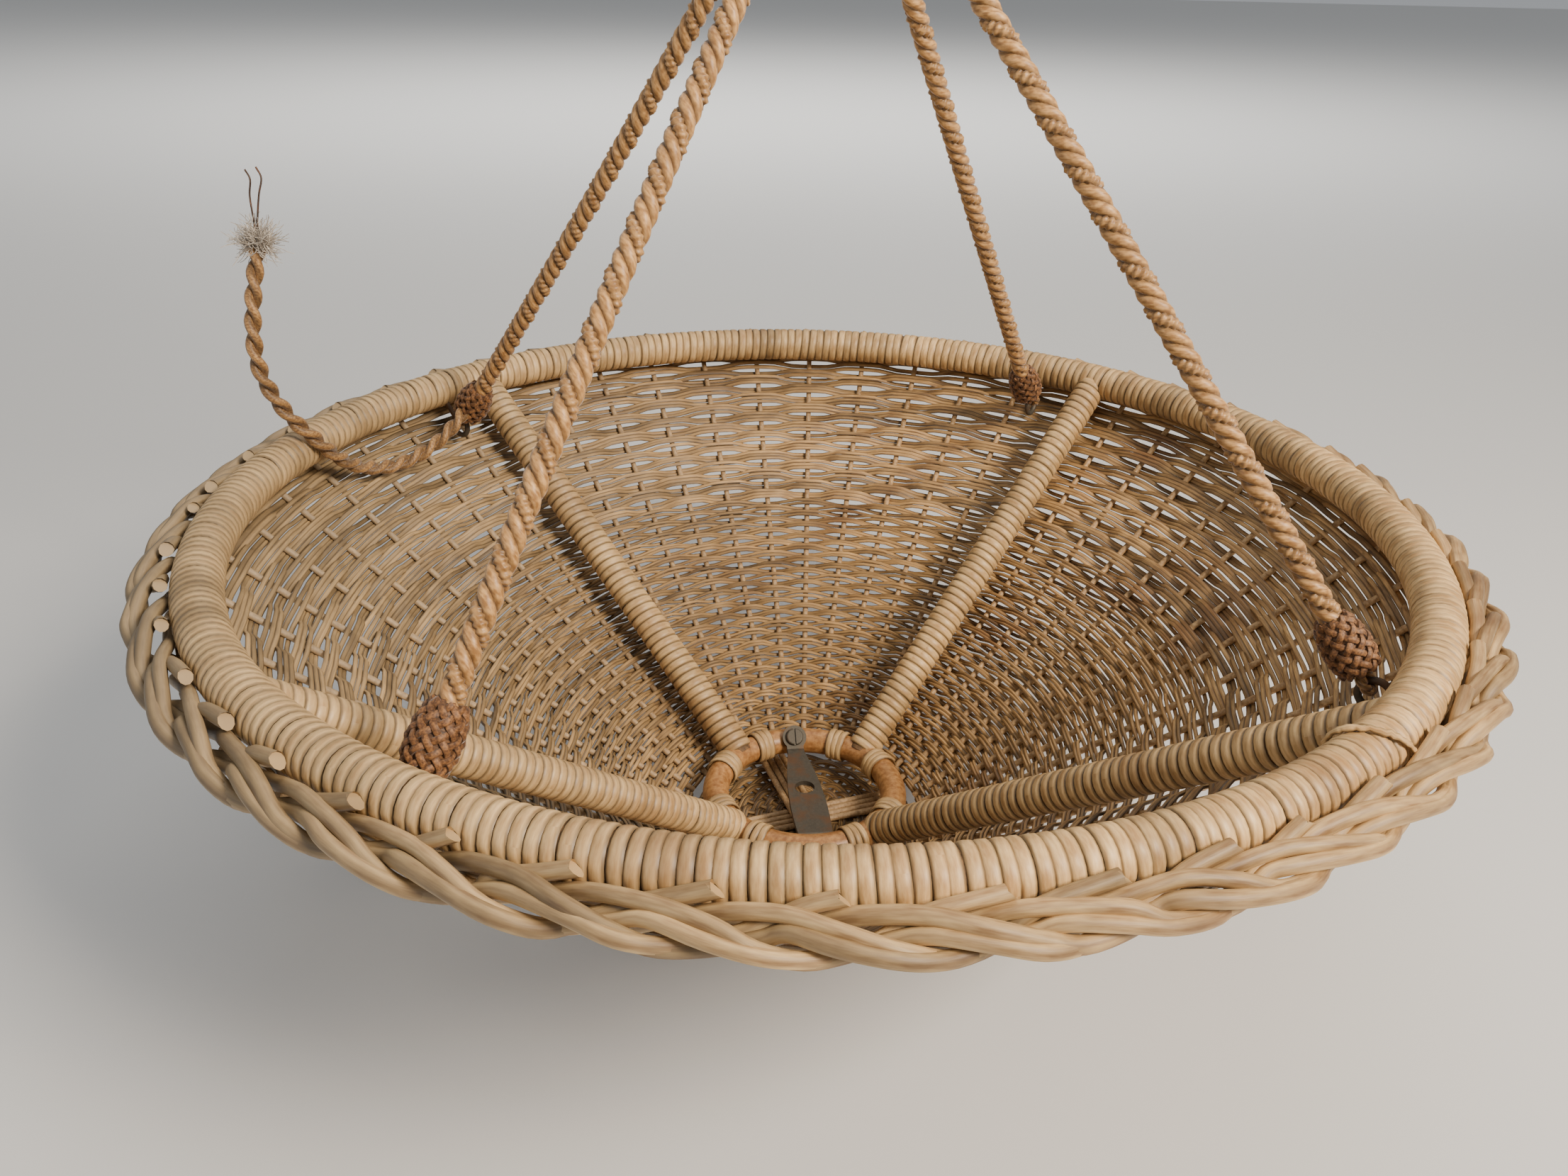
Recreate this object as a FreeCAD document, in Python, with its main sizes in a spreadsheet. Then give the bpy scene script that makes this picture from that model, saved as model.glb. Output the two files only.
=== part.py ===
"""Hanging wicker bowl: a shallow cone of woven cane under a wrapped rim, on four ropes and a ceiling hook.

Millimetres, +Z up, origin where the hook's collar meets the ceiling. Seen from the front (looking along +Y),
back is +Y and right is +X. The rim's plane is rim_drop below the ceiling.
"""
import FreeCAD, Part
import math
import os

from FreeCAD import Placement, Rotation, Vector

doc = FreeCAD.newDocument("hanging_bowl")

# ---------------------------------------------------------------- driving sizes
SIZES = [
    ("rim_radius", 250, "rim, centre to tube centreline"),
    ("rim_core_dia", 16.6, "rim hoop under its wrapping"),
    ("cane_wrap", 1.15, "thickness of the flat cane wrapping"),
    ("wrap_gap", 0.05, "between a wrapping and its core"),
    ("rim_drop", 380, "ceiling to rim plane"),
    ("spoke_core_dia", 14.6, "spoke rod under its wrapping"),
    ("centre_radius", 44.5, "lamp ring, centre to tube centreline"),
    ("centre_dia", 13, "lamp ring tube"),
    ("centre_depth", 158, "rim plane to lamp ring"),
    ("binding_width", 10, "cane binding beside a spoke"),
    ("binding_wall", 1.2, "cane binding thickness"),
    ("wall_top_gap", 0.726, "woven wall's top edge, from the border's section"),
    ("wall_top_angle", 47.58, "the same, below the border and towards the axis, in degrees"),
    ("wall_mid_radius", 180, "woven wall, where coarse weave meets fine"),
    ("wall_sag", 5.24, "woven wall, at that place below the straight line from its top to its foot"),
    ("wall_foot_out", 14.5, "woven wall's foot, outside the lamp ring's centreline"),
    ("wall_foot_rise", 5, "woven wall's foot, above the base's upper face"),
    ("weave_thickness", 5.4, "woven wall, both faces of strands"),
    ("stake_dia", 3.0, "upright stakes inside the weave"),
    ("stake_count", 48, "stakes, and border rods"),
    ("stake_gap", 0.05, "around a stake in the weave"),
    ("base_inset", 2.1, "woven wall's foot to the base disc's edge"),
    ("base_thickness", 4.0, "woven base disc"),
    ("base_gap", 0.4, "between the base sticks and the bracket's foot over them"),
    ("base_stick_dia", 3.2, "crossed base sticks"),
    ("base_stick_gap", 0.5, "between base sticks side by side"),
    ("base_stick_inset", 6, "base disc's edge to the ends of its sticks"),
    ("border_tuck", 0.05, "plaited border's inner edge, inside the rim wrapping's outer edge"),
    ("border_depth", 3.5, "plaited border, centre of its section below the rim plane"),
    ("border_width", 16.4, "plaited border section"),
    ("border_height", 13, "plaited border section"),
    ("border_tip_dia", 4.6, "cut rod ends on the border"),
    ("border_tip_length", 30, "cut rod ends on the border"),
    ("rope_dia", 9, "hanging ropes"),
    ("knob_inset", 28.5, "woven knobs, centre inside the rim circle"),
    ("knob_drop", 1.0, "woven knobs, centre below the rim plane"),
    ("knob_dia", 18, "woven knobs"),
    ("knob_length", 24, "woven knobs"),
    ("knob_round", 5, "rounding of a knob's ends"),
    ("knob_slope", 50.6, "knob axis below the horizontal, in degrees"),
    ("eye_radius", 4.5, "rope eye under a knob, centreline"),
    ("eye_dia", 4.0, "rope eye cord"),
    ("eye_drop", 2.6, "knob's end to the rope eye's centre"),
    ("iron_eye_radius", 5.5, "iron screw eye in the rim, centreline"),
    ("iron_eye_dia", 2.8, "iron screw eye wire"),
    ("iron_eye_depth", 7.5, "iron screw eye shank inside the rim"),
    ("link_gap", 0.3, "between linked rings"),
    ("seizing_radius", 12.5, "whipping that gathers the ropes"),
    ("seizing_top", 72, "ceiling to the whipping"),
    ("seizing_length", 36, "whipping"),
    ("seizing_round", 4, "rounding of the whipping's ends"),
    ("top_eye_bend", 7, "rope eye over the whipping, bend radius"),
    ("ring_radius", 14, "suspension ring, centreline"),
    ("ring_dia", 4, "suspension ring wire"),
    ("hook_dia", 5, "ceiling hook wire"),
    ("hook_radius", 9, "ceiling hook bend, centreline"),
    ("hook_shoulder", 3.51, "hook, tighter bend under its screw"),
    ("hook_drop", 32, "ceiling to the hook's lowest centreline"),
    ("screw_length", 26, "hook shank above the ceiling line"),
    ("collar_dia", 14, "hook collar"),
    ("collar_height", 3, "hook collar"),
    ("plate_thickness", 2.5, "lamp bracket plate"),
    ("plate_rise", 1, "plate's mid surface above the lamp ring's centreline"),
    ("plate_turn", 8, "bracket turned from the front-back line, in degrees"),
    ("lamp_hole_dia", 10, "hole for the lamp's threaded tube"),
    ("bracket_eye_dia", 12.6, "round end of the bracket"),
    ("bracket_neck", 8.8, "narrow part of the bracket"),
    ("bracket_width", 18, "widest part of the bracket"),
    ("foot_height", 12, "bracket foot, down the lamp ring's inner side"),
    ("bracket_screw_dia", 9, "bracket screw head"),
    ("bracket_screw_head", 1.8, "bracket screw head, height"),
    ("bracket_slot", 1.1, "bracket screw slot, width"),
    ("bracket_slot_depth", 0.8, "bracket screw slot, depth"),
    ("bracket_shank_dia", 3.4, "bracket screw shank"),
    ("bracket_shank_length", 8, "bracket screw shank under its head"),
    ("flex_dia", 7.6, "twisted pair of silk-covered wires"),
    ("fray_dia", 16, "tuft at the flex's cut end"),
    ("wire_dia", 1.4, "bare wires over the tuft"),
    ("wire_length", 16, "bare wires over the tuft"),
    ("tie_azimuth", 312, "cane tie round the rim, in degrees"),
    ("tie_dia", 1.6, "cane tie round the rim"),
    ("tie_gap", 0.1, "between the tie and the rim's wrapping"),
    ("tip_lean", 11.5, "cut rod ends, turned in towards the rim, in degrees"),
    ("lay_gap", 0.1, "between pieces that lie on each other"),
    ("bracket_lean", 45, "round end of the bracket from the horizontal, in degrees"),
    ("bracket_gap", 0.4, "between the bracket and the lamp ring"),
]
sheet = doc.addObject("Spreadsheet::Sheet", "Sizes")
for row, (alias, value, note) in enumerate(SIZES, start=1):
    sheet.set("A%d" % row, alias)
    sheet.set("B%d" % row, str(value))
    sheet.set("C%d" % row, note)
    sheet.setAlias("B%d" % row, alias)
doc.recompute()


def size(alias):
    return float(sheet.get(alias))


# ---------------------------------------------------------------- places round the bowl
SPOKES = {"back_left": 138.5, "back_right": 48.5, "front_left": 223.0, "front_right": 318.0}
ROPES = {"back_left": 145.0, "back_right": 56.0, "front_left": 238.0, "front_right": 328.0}

# Each rope's centreline, whipping first. The flex leaves the back left knob and stands up beside the rim.
ROPE_POINTS = {
    "back_left": [(-5.3, 3.7, -84), (-5.3, 3.7, -104), (-11, 7.7, -123), (-111, 79.5, -278),
                  (-181.4, 127, -381)],
    "back_right": [(3.6, 5.4, -84), (3.6, 5.4, -104), (7.5, 11.1, -123), (59.5, 85.5, -239),
                   (123.9, 183.6, -381)],
    "front_left": [(-3.4, -5.5, -84), (-3.4, -5.5, -104), (-7.1, -11.4, -123), (-80.5, -121.5, -286),
                   (-117.4, -187.8, -381)],
    "front_right": [(5.5, -3.4, -84), (5.5, -3.4, -104), (11.4, -7.1, -123), (100.5, -64.5, -251),
                    (187.8, -117.4, -381)],
}
# The azimuths that the lower and upper base sticks run along, in degrees.
BASE_STICK_TURNS = (20, 110)
FLEX_POINTS = [(-186, 122.5, -385), (-191, 112, -392), (-203, 101, -401), (-215.5, 85, -403), (-225, 68, -397),
               (-229.5, 52.5, -386), (-234.5, 41, -372), (-242, 35, -360), (-248, 30, -344), (-249.5, 27, -330),
               (-249, 29, -315), (-247.5, 34, -298), (-246, 42, -282)]
TOP_EYE_POINTS = [(-4.7, 0, -82), (-4.7, 0, -73), (-8, 0, -64), (-8, 0, -48.4), (8, 0, -48.4), (8, 0, -64),
                  (4.7, 0, -73), (4.7, 0, -82)]

parts = {}


def keep(obj, name):
    """Give a document object its node name."""
    obj.Label = name
    parts[name] = obj
    return obj


def bind(obj, **expressions):
    """Tie an object's properties to the spreadsheet."""
    for prop, text in expressions.items():
        obj.setExpression(prop.replace("__", "."), text)
    return obj


def place(obj, centre, axis=Vector(0, 0, 1)):
    obj.Placement = Placement(centre, Rotation(Vector(0, 0, 1), axis))
    return obj


def torus(name, major, minor):
    obj = doc.addObject("Part::Torus", name)
    return bind(obj, Radius1=major, Radius2=minor)


def cylinder(name, radius, height):
    obj = doc.addObject("Part::Cylinder", name)
    return bind(obj, Radius=radius, Height=height)


def boolean(kind, name, base, tool):
    obj = doc.addObject("Part::" + kind, name)
    obj.Base = base
    obj.Tool = tool
    return obj


def feature(name, shape):
    """A shape made with Part's own functions, as a document object."""
    obj = doc.addObject("Part::Feature", name)
    obj.Shape = shape
    return keep(obj, name)


def radial(azimuth):
    angle = math.radians(azimuth)
    return Vector(math.cos(angle), math.sin(angle), 0)


def around(azimuth, radius, height):
    """A point at that radius and height above the rim plane."""
    return radial(azimuth) * radius + Vector(0, 0, height - size("rim_drop"))


# ---------------------------------------------------------------- cords
def rounded_path(points, name, corner=None):
    """Straight runs joined by tangent arcs, each as large as its two runs allow or as large as corner."""
    stops = [Vector(*p) for p in points]
    edges = []
    radii = []
    start = stops[0]
    for before, here, after in zip(stops, stops[1:], stops[2:]):
        back = (before - here).normalize()
        ahead = (after - here).normalize()
        half_turn = (math.pi - back.getAngle(ahead)) / 2
        shorter = min((before - here).Length, (after - here).Length)
        radius = corner or 0.45 * shorter / math.tan(half_turn)
        reach = radius * math.tan(half_turn)
        bisector = (back + ahead).normalize()
        middle = here + bisector * (radius / math.cos(half_turn) - radius)
        edges.append(Part.LineSegment(start, here + back * reach).toShape())
        edges.append(Part.Arc(here + back * reach, middle, here + ahead * reach).toShape())
        start = here + ahead * reach
        radii.append(radius)
    edges.append(Part.LineSegment(start, stops[-1]).toShape())
    print("%-18s arc radii %s" % (name, " ".join("%.0f" % r for r in radii)))
    return Part.Wire(edges)


def tube_along(wire, diameter, name):
    first = wire.Edges[0]
    heading = first.tangentAt(first.FirstParameter)
    disc = Part.Wire(Part.makeCircle(diameter / 2, first.valueAt(first.FirstParameter), heading))
    solid = wire.makePipeShell([disc], True, False)
    expected = math.pi * diameter ** 2 / 4 * wire.Length
    print("%-18s length %.1f, volume / (section x length) %.4f" % (name, wire.Length,
                                                                   solid.Volume / expected))
    return solid


# ---------------------------------------------------------------- ceiling hook and suspension ring
def ceiling_hook():
    wire = size("hook_dia") / 2
    bend = size("hook_radius")
    low = -size("hook_drop")
    high = low + 2 * bend
    shoulder = size("hook_shoulder")
    path = [Vector(0, 0, -1), Vector(0, 0, high), Vector(bend, 0, high), Vector(bend, 0, low),
            Vector(-bend, 0, low), Vector(-bend, 0, low + bend + 1)]
    corners = [shoulder, bend - shoulder, bend, bend]
    edges = []
    start = path[0]
    for before, here, after, radius in zip(path, path[1:], path[2:], corners):
        back = (before - here).normalize()
        ahead = (after - here).normalize()
        middle = here + (back + ahead) * radius - (back + ahead).normalize() * radius
        if (here + back * radius - start).Length > 0.01:
            edges.append(Part.LineSegment(start, here + back * radius).toShape())
        edges.append(Part.Arc(here + back * radius, middle, here + ahead * radius).toShape())
        start = here + ahead * radius
    edges.append(Part.LineSegment(start, path[-1]).toShape())
    disc = Part.Wire(Part.makeCircle(wire, path[0], Vector(0, 0, -1)))
    bent = Part.Wire(edges).makePipeShell([disc], True, False)
    bent = bent.fuse(Part.makeSphere(wire, path[-1]))
    collar_height = size("collar_height")
    collar = Part.makeCylinder(size("collar_dia") / 2, collar_height, Vector(0, 0, -collar_height))
    shank = Part.makeCylinder(wire, size("screw_length"))
    tip = Part.makeCone(wire, wire / 8, 2 * wire, Vector(0, 0, size("screw_length")))
    feature("ceiling_hook", collar.fuse([bent, shank, tip]).removeSplitter())


def ring_centre():
    """Height of the suspension ring's centre: its wire rests in the hook with link_gap to spare."""
    contact = (size("hook_dia") + size("ring_dia")) / 2 + size("link_gap")
    return -size("hook_drop") + contact - size("ring_radius")


def suspension_ring():
    obj = torus("suspension_ring", "Sizes.ring_radius", "Sizes.ring_dia / 2")
    place(obj, Vector(0, 0, ring_centre()), Vector(1, 0, 0))
    keep(obj, "suspension_ring")


# ---------------------------------------------------------------- ropes, knobs and their fastenings
def top_eye():
    wire = rounded_path(TOP_EYE_POINTS, "top_eye", size("top_eye_bend"))
    feature("top_eye", tube_along(wire, size("rope_dia"), "top_eye"))


def round_ends(blank, name, radius):
    """The blank cylinder with both its end circles rounded."""
    rounded = doc.addObject("Part::Fillet", name)
    rounded.Base = blank
    rounded.Edges = [(n, radius, radius) for n, edge in enumerate(blank.Shape.Edges, start=1) if edge.Closed]
    return rounded


def top_seizing():
    obj = cylinder("seizing_core", "Sizes.seizing_radius", "Sizes.seizing_length")
    bind(obj, Placement__Base__z="-Sizes.seizing_top - Sizes.seizing_length")
    doc.recompute()
    keep(round_ends(obj, "top_seizing", size("seizing_round")), "top_seizing")


def knob_direction(azimuth):
    slope = math.radians(size("knob_slope"))
    return radial(azimuth) * math.cos(slope) - Vector(0, 0, math.sin(slope))


def knob_end(azimuth):
    middle = around(azimuth, size("rim_radius") - size("knob_inset"), -size("knob_drop"))
    return middle + knob_direction(azimuth) * size("knob_length") / 2


def chain_points(azimuth):
    """Centres of the rope's end loop and of the iron eye below it, and the way from the eye to the rim."""
    loop = knob_end(azimuth) + knob_direction(azimuth) * size("eye_drop")
    apart = (size("eye_radius") + size("iron_eye_radius")
             - (size("eye_dia") + size("iron_eye_dia")) / 2 - size("link_gap"))
    eye = loop + knob_direction(azimuth) * apart
    return loop, eye, (around(azimuth, size("rim_radius"), 0) - eye).normalize()


def rope_set(side, azimuth):
    rope = "rope_" + side
    feature(rope, tube_along(rounded_path(ROPE_POINTS[side], rope), size("rope_dia"), rope))

    knob = cylinder("knob_blank_" + side, "Sizes.knob_dia / 2", "Sizes.knob_length")
    heading = knob_direction(azimuth)
    place(knob, knob_end(azimuth) - heading * size("knob_length"), heading)
    doc.recompute()
    keep(round_ends(knob, "knob_" + side, size("knob_round")), "knob_" + side)

    loop_centre, eye_centre, into_rim = chain_points(azimuth)
    tangent = radial(azimuth + 90)
    obj = torus("rope_eye_" + side, "Sizes.eye_radius", "Sizes.eye_dia / 2")
    keep(place(obj, loop_centre, heading.cross(tangent)), "rope_eye_" + side)

    ring = torus("iron_eye_ring_" + side, "Sizes.iron_eye_radius", "Sizes.iron_eye_dia / 2")
    place(ring, eye_centre, tangent)
    shank = doc.addObject("Part::Cylinder", "iron_eye_shank_" + side)
    bind(shank, Radius="Sizes.iron_eye_dia / 2")
    rim_surface = size("rim_core_dia") / 2 + size("cane_wrap")
    rim_distance = (around(azimuth, size("rim_radius"), 0) - eye_centre).Length
    shank.Height = rim_distance - rim_surface + size("iron_eye_depth") - size("iron_eye_radius")
    place(shank, eye_centre + into_rim * size("iron_eye_radius"), into_rim)
    keep(boolean("Fuse", "iron_eye_" + side, ring, shank), "iron_eye_" + side)


# ---------------------------------------------------------------- rim, spokes and lamp ring
def rim():
    core = torus("rim_core", "Sizes.rim_radius", "Sizes.rim_core_dia / 2")
    bind(core, Placement__Base__z="-Sizes.rim_drop")
    keep(core, "rim_core")
    outer = torus("rim_wrap_outer", "Sizes.rim_radius", "Sizes.rim_core_dia / 2 + Sizes.cane_wrap")
    inner = torus("rim_wrap_inner", "Sizes.rim_radius", "Sizes.rim_core_dia / 2 + Sizes.wrap_gap")
    for obj in (outer, inner):
        bind(obj, Placement__Base__z="-Sizes.rim_drop")
    keep(boolean("Cut", "rim_wrapping", outer, inner), "rim_wrapping")


def lamp_ring():
    ring = torus("centre_ring", "Sizes.centre_radius", "Sizes.centre_dia / 2")
    bind(ring, Placement__Base__z="-Sizes.rim_drop - Sizes.centre_depth")
    keep(ring, "centre_ring")


def spoke(side, azimuth):
    """A wrapped rod from the rim to the lamp ring, its ends cut to sit against both tubes."""
    outer_end = around(azimuth, size("rim_radius"), 0)
    inner_end = around(azimuth, size("centre_radius"), -size("centre_depth"))
    heading = (inner_end - outer_end).normalize()
    length = (inner_end - outer_end).Length
    core_radius = size("spoke_core_dia") / 2
    wrap_inner = core_radius + size("wrap_gap")
    wrap_outer = core_radius + size("cane_wrap")
    rim_clear = size("rim_core_dia") / 2 + size("cane_wrap") + size("wrap_gap")
    rim_tube = Part.makeTorus(size("rim_radius"), rim_clear, Vector(0, 0, -size("rim_drop")))
    lamp_tube = Part.makeTorus(size("centre_radius"), size("centre_dia") / 2 + size("wrap_gap"),
                               Vector(0, 0, -size("rim_drop") - size("centre_depth")))
    core = Part.makeCylinder(core_radius, length, outer_end, heading)
    wrap = Part.makeCylinder(wrap_outer, length, outer_end, heading).cut(
        Part.makeCylinder(wrap_inner, length, outer_end, heading))
    for name, solid in (("spoke_core_", core), ("spoke_wrapping_", wrap)):
        trimmed = solid.cut([rim_tube, lamp_tube])
        middle = (outer_end + inner_end) / 2
        kept = min(trimmed.Solids, key=lambda piece: (piece.CenterOfMass - middle).Length)
        feature(name + side, kept)


def centre_bindings():
    """Short cane bindings round the lamp ring, one each side of every spoke."""
    tube = size("centre_dia") / 2
    half_spoke = size("spoke_core_dia") / 2 + size("cane_wrap")
    reach = math.degrees((half_spoke + size("binding_width") / 2 + size("link_gap")) / size("centre_radius"))
    span = math.degrees(size("binding_width") / size("centre_radius"))
    centre = Vector(0, 0, -size("rim_drop") - size("centre_depth"))
    bindings = []
    for azimuth in SPOKES.values():
        for turn in (-reach, reach):
            start = azimuth + turn - span / 2
            middle = centre + radial(start) * size("centre_radius")
            outer, bore = [Part.Face(Part.Wire(Part.makeCircle(radius, middle, radial(start + 90))))
                           for radius in (tube + size("binding_wall"), tube + size("wrap_gap"))]
            face = outer.cut(bore).Faces[0]
            bindings.append(face.revolve(centre, Vector(0, 0, 1), span))
    feature("centre_ring_bindings", Part.makeCompound(bindings))


def rim_tie():
    """A thin cane tie slung round the rim beside the front right spoke."""
    azimuth = size("tie_azimuth")
    tie = torus("rim_tie", "Sizes.rim_core_dia / 2 + Sizes.cane_wrap + Sizes.tie_gap + Sizes.tie_dia / 2",
                "Sizes.tie_dia / 2")
    keep(place(tie, around(azimuth, size("rim_radius"), 0), radial(azimuth + 90)), "rim_tie")


# ---------------------------------------------------------------- woven wall
def border_centre():
    """Centre of the border's section, in the X-Z plane."""
    wrapped = size("rim_core_dia") / 2 + size("cane_wrap")
    return around(0, size("rim_radius") + wrapped + size("border_width") / 2 - size("border_tuck"),
                  -size("border_depth"))


def plate_depth():
    """Rim plane to the bracket plate's mid surface."""
    return size("centre_depth") - size("plate_rise")


def base_top():
    """Height of the base disc's upper face: the crossed sticks on it clear the bracket's foot."""
    sticks = 2 * (size("base_stick_dia") + size("lay_gap"))
    return -size("rim_drop") - plate_depth() - size("foot_height") - size("base_gap") - sticks


def wall_point(which):
    """A point on the wall's arc in the X-Z plane."""
    angle = math.radians(size("wall_top_angle"))
    inward = Vector(-math.cos(angle), 0, -math.sin(angle))
    section = 1 / math.hypot(inward.x / (size("border_width") / 2), inward.z / (size("border_height") / 2))
    top = border_centre() + inward * (section + size("wall_top_gap"))
    foot = Vector(size("centre_radius") + size("wall_foot_out"), 0, base_top() + size("wall_foot_rise"))
    share = (top.x - size("wall_mid_radius")) / (top.x - foot.x)
    mid = Vector(size("wall_mid_radius"), 0, top.z + share * (foot.z - top.z) - size("wall_sag"))
    return {"top": top, "mid": mid, "foot": foot}[which]


def wall_circle():
    """Centre and radius of the arc that the wall follows in the X-Z plane."""
    curve = Part.Arc(wall_point("top"), wall_point("mid"), wall_point("foot")).toShape().Curve
    return curve.Center, curve.Radius


def wall_angle(point, centre):
    return math.atan2(point.z - centre.z, point.x - centre.x)


def wall_at(radius_of_arc, angle, centre):
    return centre + Vector(math.cos(angle), 0, math.sin(angle)) * radius_of_arc


def stake_solids(diameter, start, end):
    """Stakes that follow the wall's arc between two angles, one at each azimuth."""
    centre, arc_radius = wall_circle()
    first = wall_at(arc_radius, start, centre)
    heading = Vector(-math.sin(start), 0, math.cos(start))
    disc = Part.Face(Part.Wire(Part.makeCircle(diameter / 2, first, heading)))
    one = disc.revolve(centre, Vector(0, -1, 0), math.degrees(end - start))
    count = int(size("stake_count"))
    copies = []
    for step in range(count):
        copy = one.copy()
        copy.rotate(Vector(0, 0, 0), Vector(0, 0, 1), 360.0 * step / count)
        copies.append(copy)
    return copies


def weave_band(name, upper, lower, trim_upper, trim_lower):
    """A band of the wall between two of its points, with a tunnel for each stake."""
    centre, arc_radius = wall_circle()
    start = wall_angle(wall_point(upper), centre) - trim_upper / arc_radius
    end = wall_angle(wall_point(lower), centre) + trim_lower / arc_radius
    half = size("weave_thickness") / 2
    middle = (start + end) / 2
    corners = [wall_at(arc_radius + side, angle, centre) for side, angle in
               ((half, start), (half, end), (-half, end), (-half, start))]
    outside = Part.Arc(corners[0], wall_at(arc_radius + half, middle, centre), corners[1]).toShape()
    inside = Part.Arc(corners[2], wall_at(arc_radius - half, middle, centre), corners[3]).toShape()
    profile = Part.Wire([outside, Part.LineSegment(corners[1], corners[2]).toShape(), inside,
                         Part.LineSegment(corners[3], corners[0]).toShape()])
    band = Part.Face(profile).revolve(Vector(0, 0, 0), Vector(0, 0, 1), 360)
    overrun = 4 / arc_radius
    tunnels = stake_solids(size("stake_dia") + 2 * size("stake_gap"), end - overrun, start + overrun)
    feature(name, band.cut(tunnels))


def woven_wall():
    weave_band("upper_weave", "top", "mid", 0, 0.1)
    weave_band("lower_weave", "mid", "foot", 0.1, 0)
    centre, arc_radius = wall_circle()
    top = wall_angle(wall_point("top"), centre)
    foot = wall_angle(wall_point("foot"), centre)
    feature("stakes", Part.makeCompound(stake_solids(size("stake_dia"), foot, top)))


def woven_base():
    """A woven disc with eight crossed sticks lying in its face."""
    radius = wall_point("foot").x - size("base_inset")
    disc = cylinder("base_weave", "Sizes.centre_radius + Sizes.wall_foot_out - Sizes.base_inset",
                    "Sizes.base_thickness")
    keep(place(disc, Vector(0, 0, base_top() - size("base_thickness"))), "base_weave")
    stick = size("base_stick_dia") / 2
    sticks = []
    for layer, turn in enumerate(BASE_STICK_TURNS):
        height = base_top() + stick + size("lay_gap") + layer * (2 * stick + size("lay_gap"))
        for lane in (-1.5, -0.5, 0.5, 1.5):
            offset = lane * (2 * stick + size("base_stick_gap"))
            half = math.sqrt((radius - size("base_stick_inset")) ** 2 - offset ** 2)
            start = radial(turn) * -half + radial(turn + 90) * offset + Vector(0, 0, height)
            sticks.append(Part.makeCylinder(stick, 2 * half, start, radial(turn)))
    feature("base_sticks", Part.makeCompound(sticks))


def border():
    """The plait round the outside, and the cut rod ends that lie on it against the rim."""
    section = doc.addObject("Part::Ellipse", "border_section")
    bind(section, MajorRadius="Sizes.border_width / 2", MinorRadius="Sizes.border_height / 2")
    section.Placement = Placement(border_centre(), Rotation(Vector(1, 0, 0), 90))
    plait = doc.addObject("Part::Revolution", "border_plait")
    plait.Source = section
    plait.Axis = Vector(0, 0, 1)
    plait.Base = Vector(0, 0, 0)
    plait.Angle = 360
    plait.Solid = True
    keep(plait, "border_plait")
    tip = size("border_tip_dia") / 2
    length = size("border_tip_length")
    height = size("border_height") / 2 - size("border_depth") + tip + size("lay_gap")
    wrapped = size("rim_core_dia") / 2 + size("cane_wrap")
    inner = size("rim_radius") + math.sqrt(wrapped ** 2 - height ** 2) + tip + size("bracket_gap")
    rods = []
    count = int(size("stake_count"))
    for step in range(count):
        azimuth = 360.0 * step / count
        end = around(azimuth, inner, height)
        heading = radial(azimuth + 90 + size("tip_lean"))
        rods.append(Part.makeCylinder(tip, length, end - heading * length, heading))
    feature("border_tips", Part.makeCompound(rods))


# ---------------------------------------------------------------- lamp bracket
def bracket_frame():
    """Placement of the bracket: its own X runs from the foot to the round end, Z is up."""
    return Placement(Vector(0, 0, -size("rim_drop")), Rotation(Vector(0, 0, 1), 90 + size("plate_turn")))


def bracket_lean():
    """The way that the bracket's round end faces."""
    angle = math.radians(size("bracket_lean"))
    return Vector(-math.sin(angle), 0, math.cos(angle))


def bracket_side_line():
    """Mid line of the plate seen from the side: along the ring, across, then down the far side."""
    level = -plate_depth()
    tube = size("centre_dia") / 2
    half = size("plate_thickness") / 2
    lean = math.radians(size("bracket_lean"))
    clear = tube + half + size("bracket_gap")
    seat = Vector(size("centre_radius") - clear * math.sin(lean), 0,
                  -size("centre_depth") + clear * math.cos(lean))
    eye_half = size("bracket_eye_dia") / 2
    top = seat + Vector(math.cos(lean), 0, math.sin(lean)) * eye_half
    knee = seat - Vector(1, 0, 1) * (seat.z - level)
    foot_face = half + 0.05 - math.sqrt((size("centre_radius") - tube) ** 2 - (size("bracket_width") / 2) ** 2)
    heel = Vector(foot_face, 0, level)
    toe = Vector(foot_face, 0, level - size("foot_height"))
    return seat, [top, knee, heel, toe]


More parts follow.
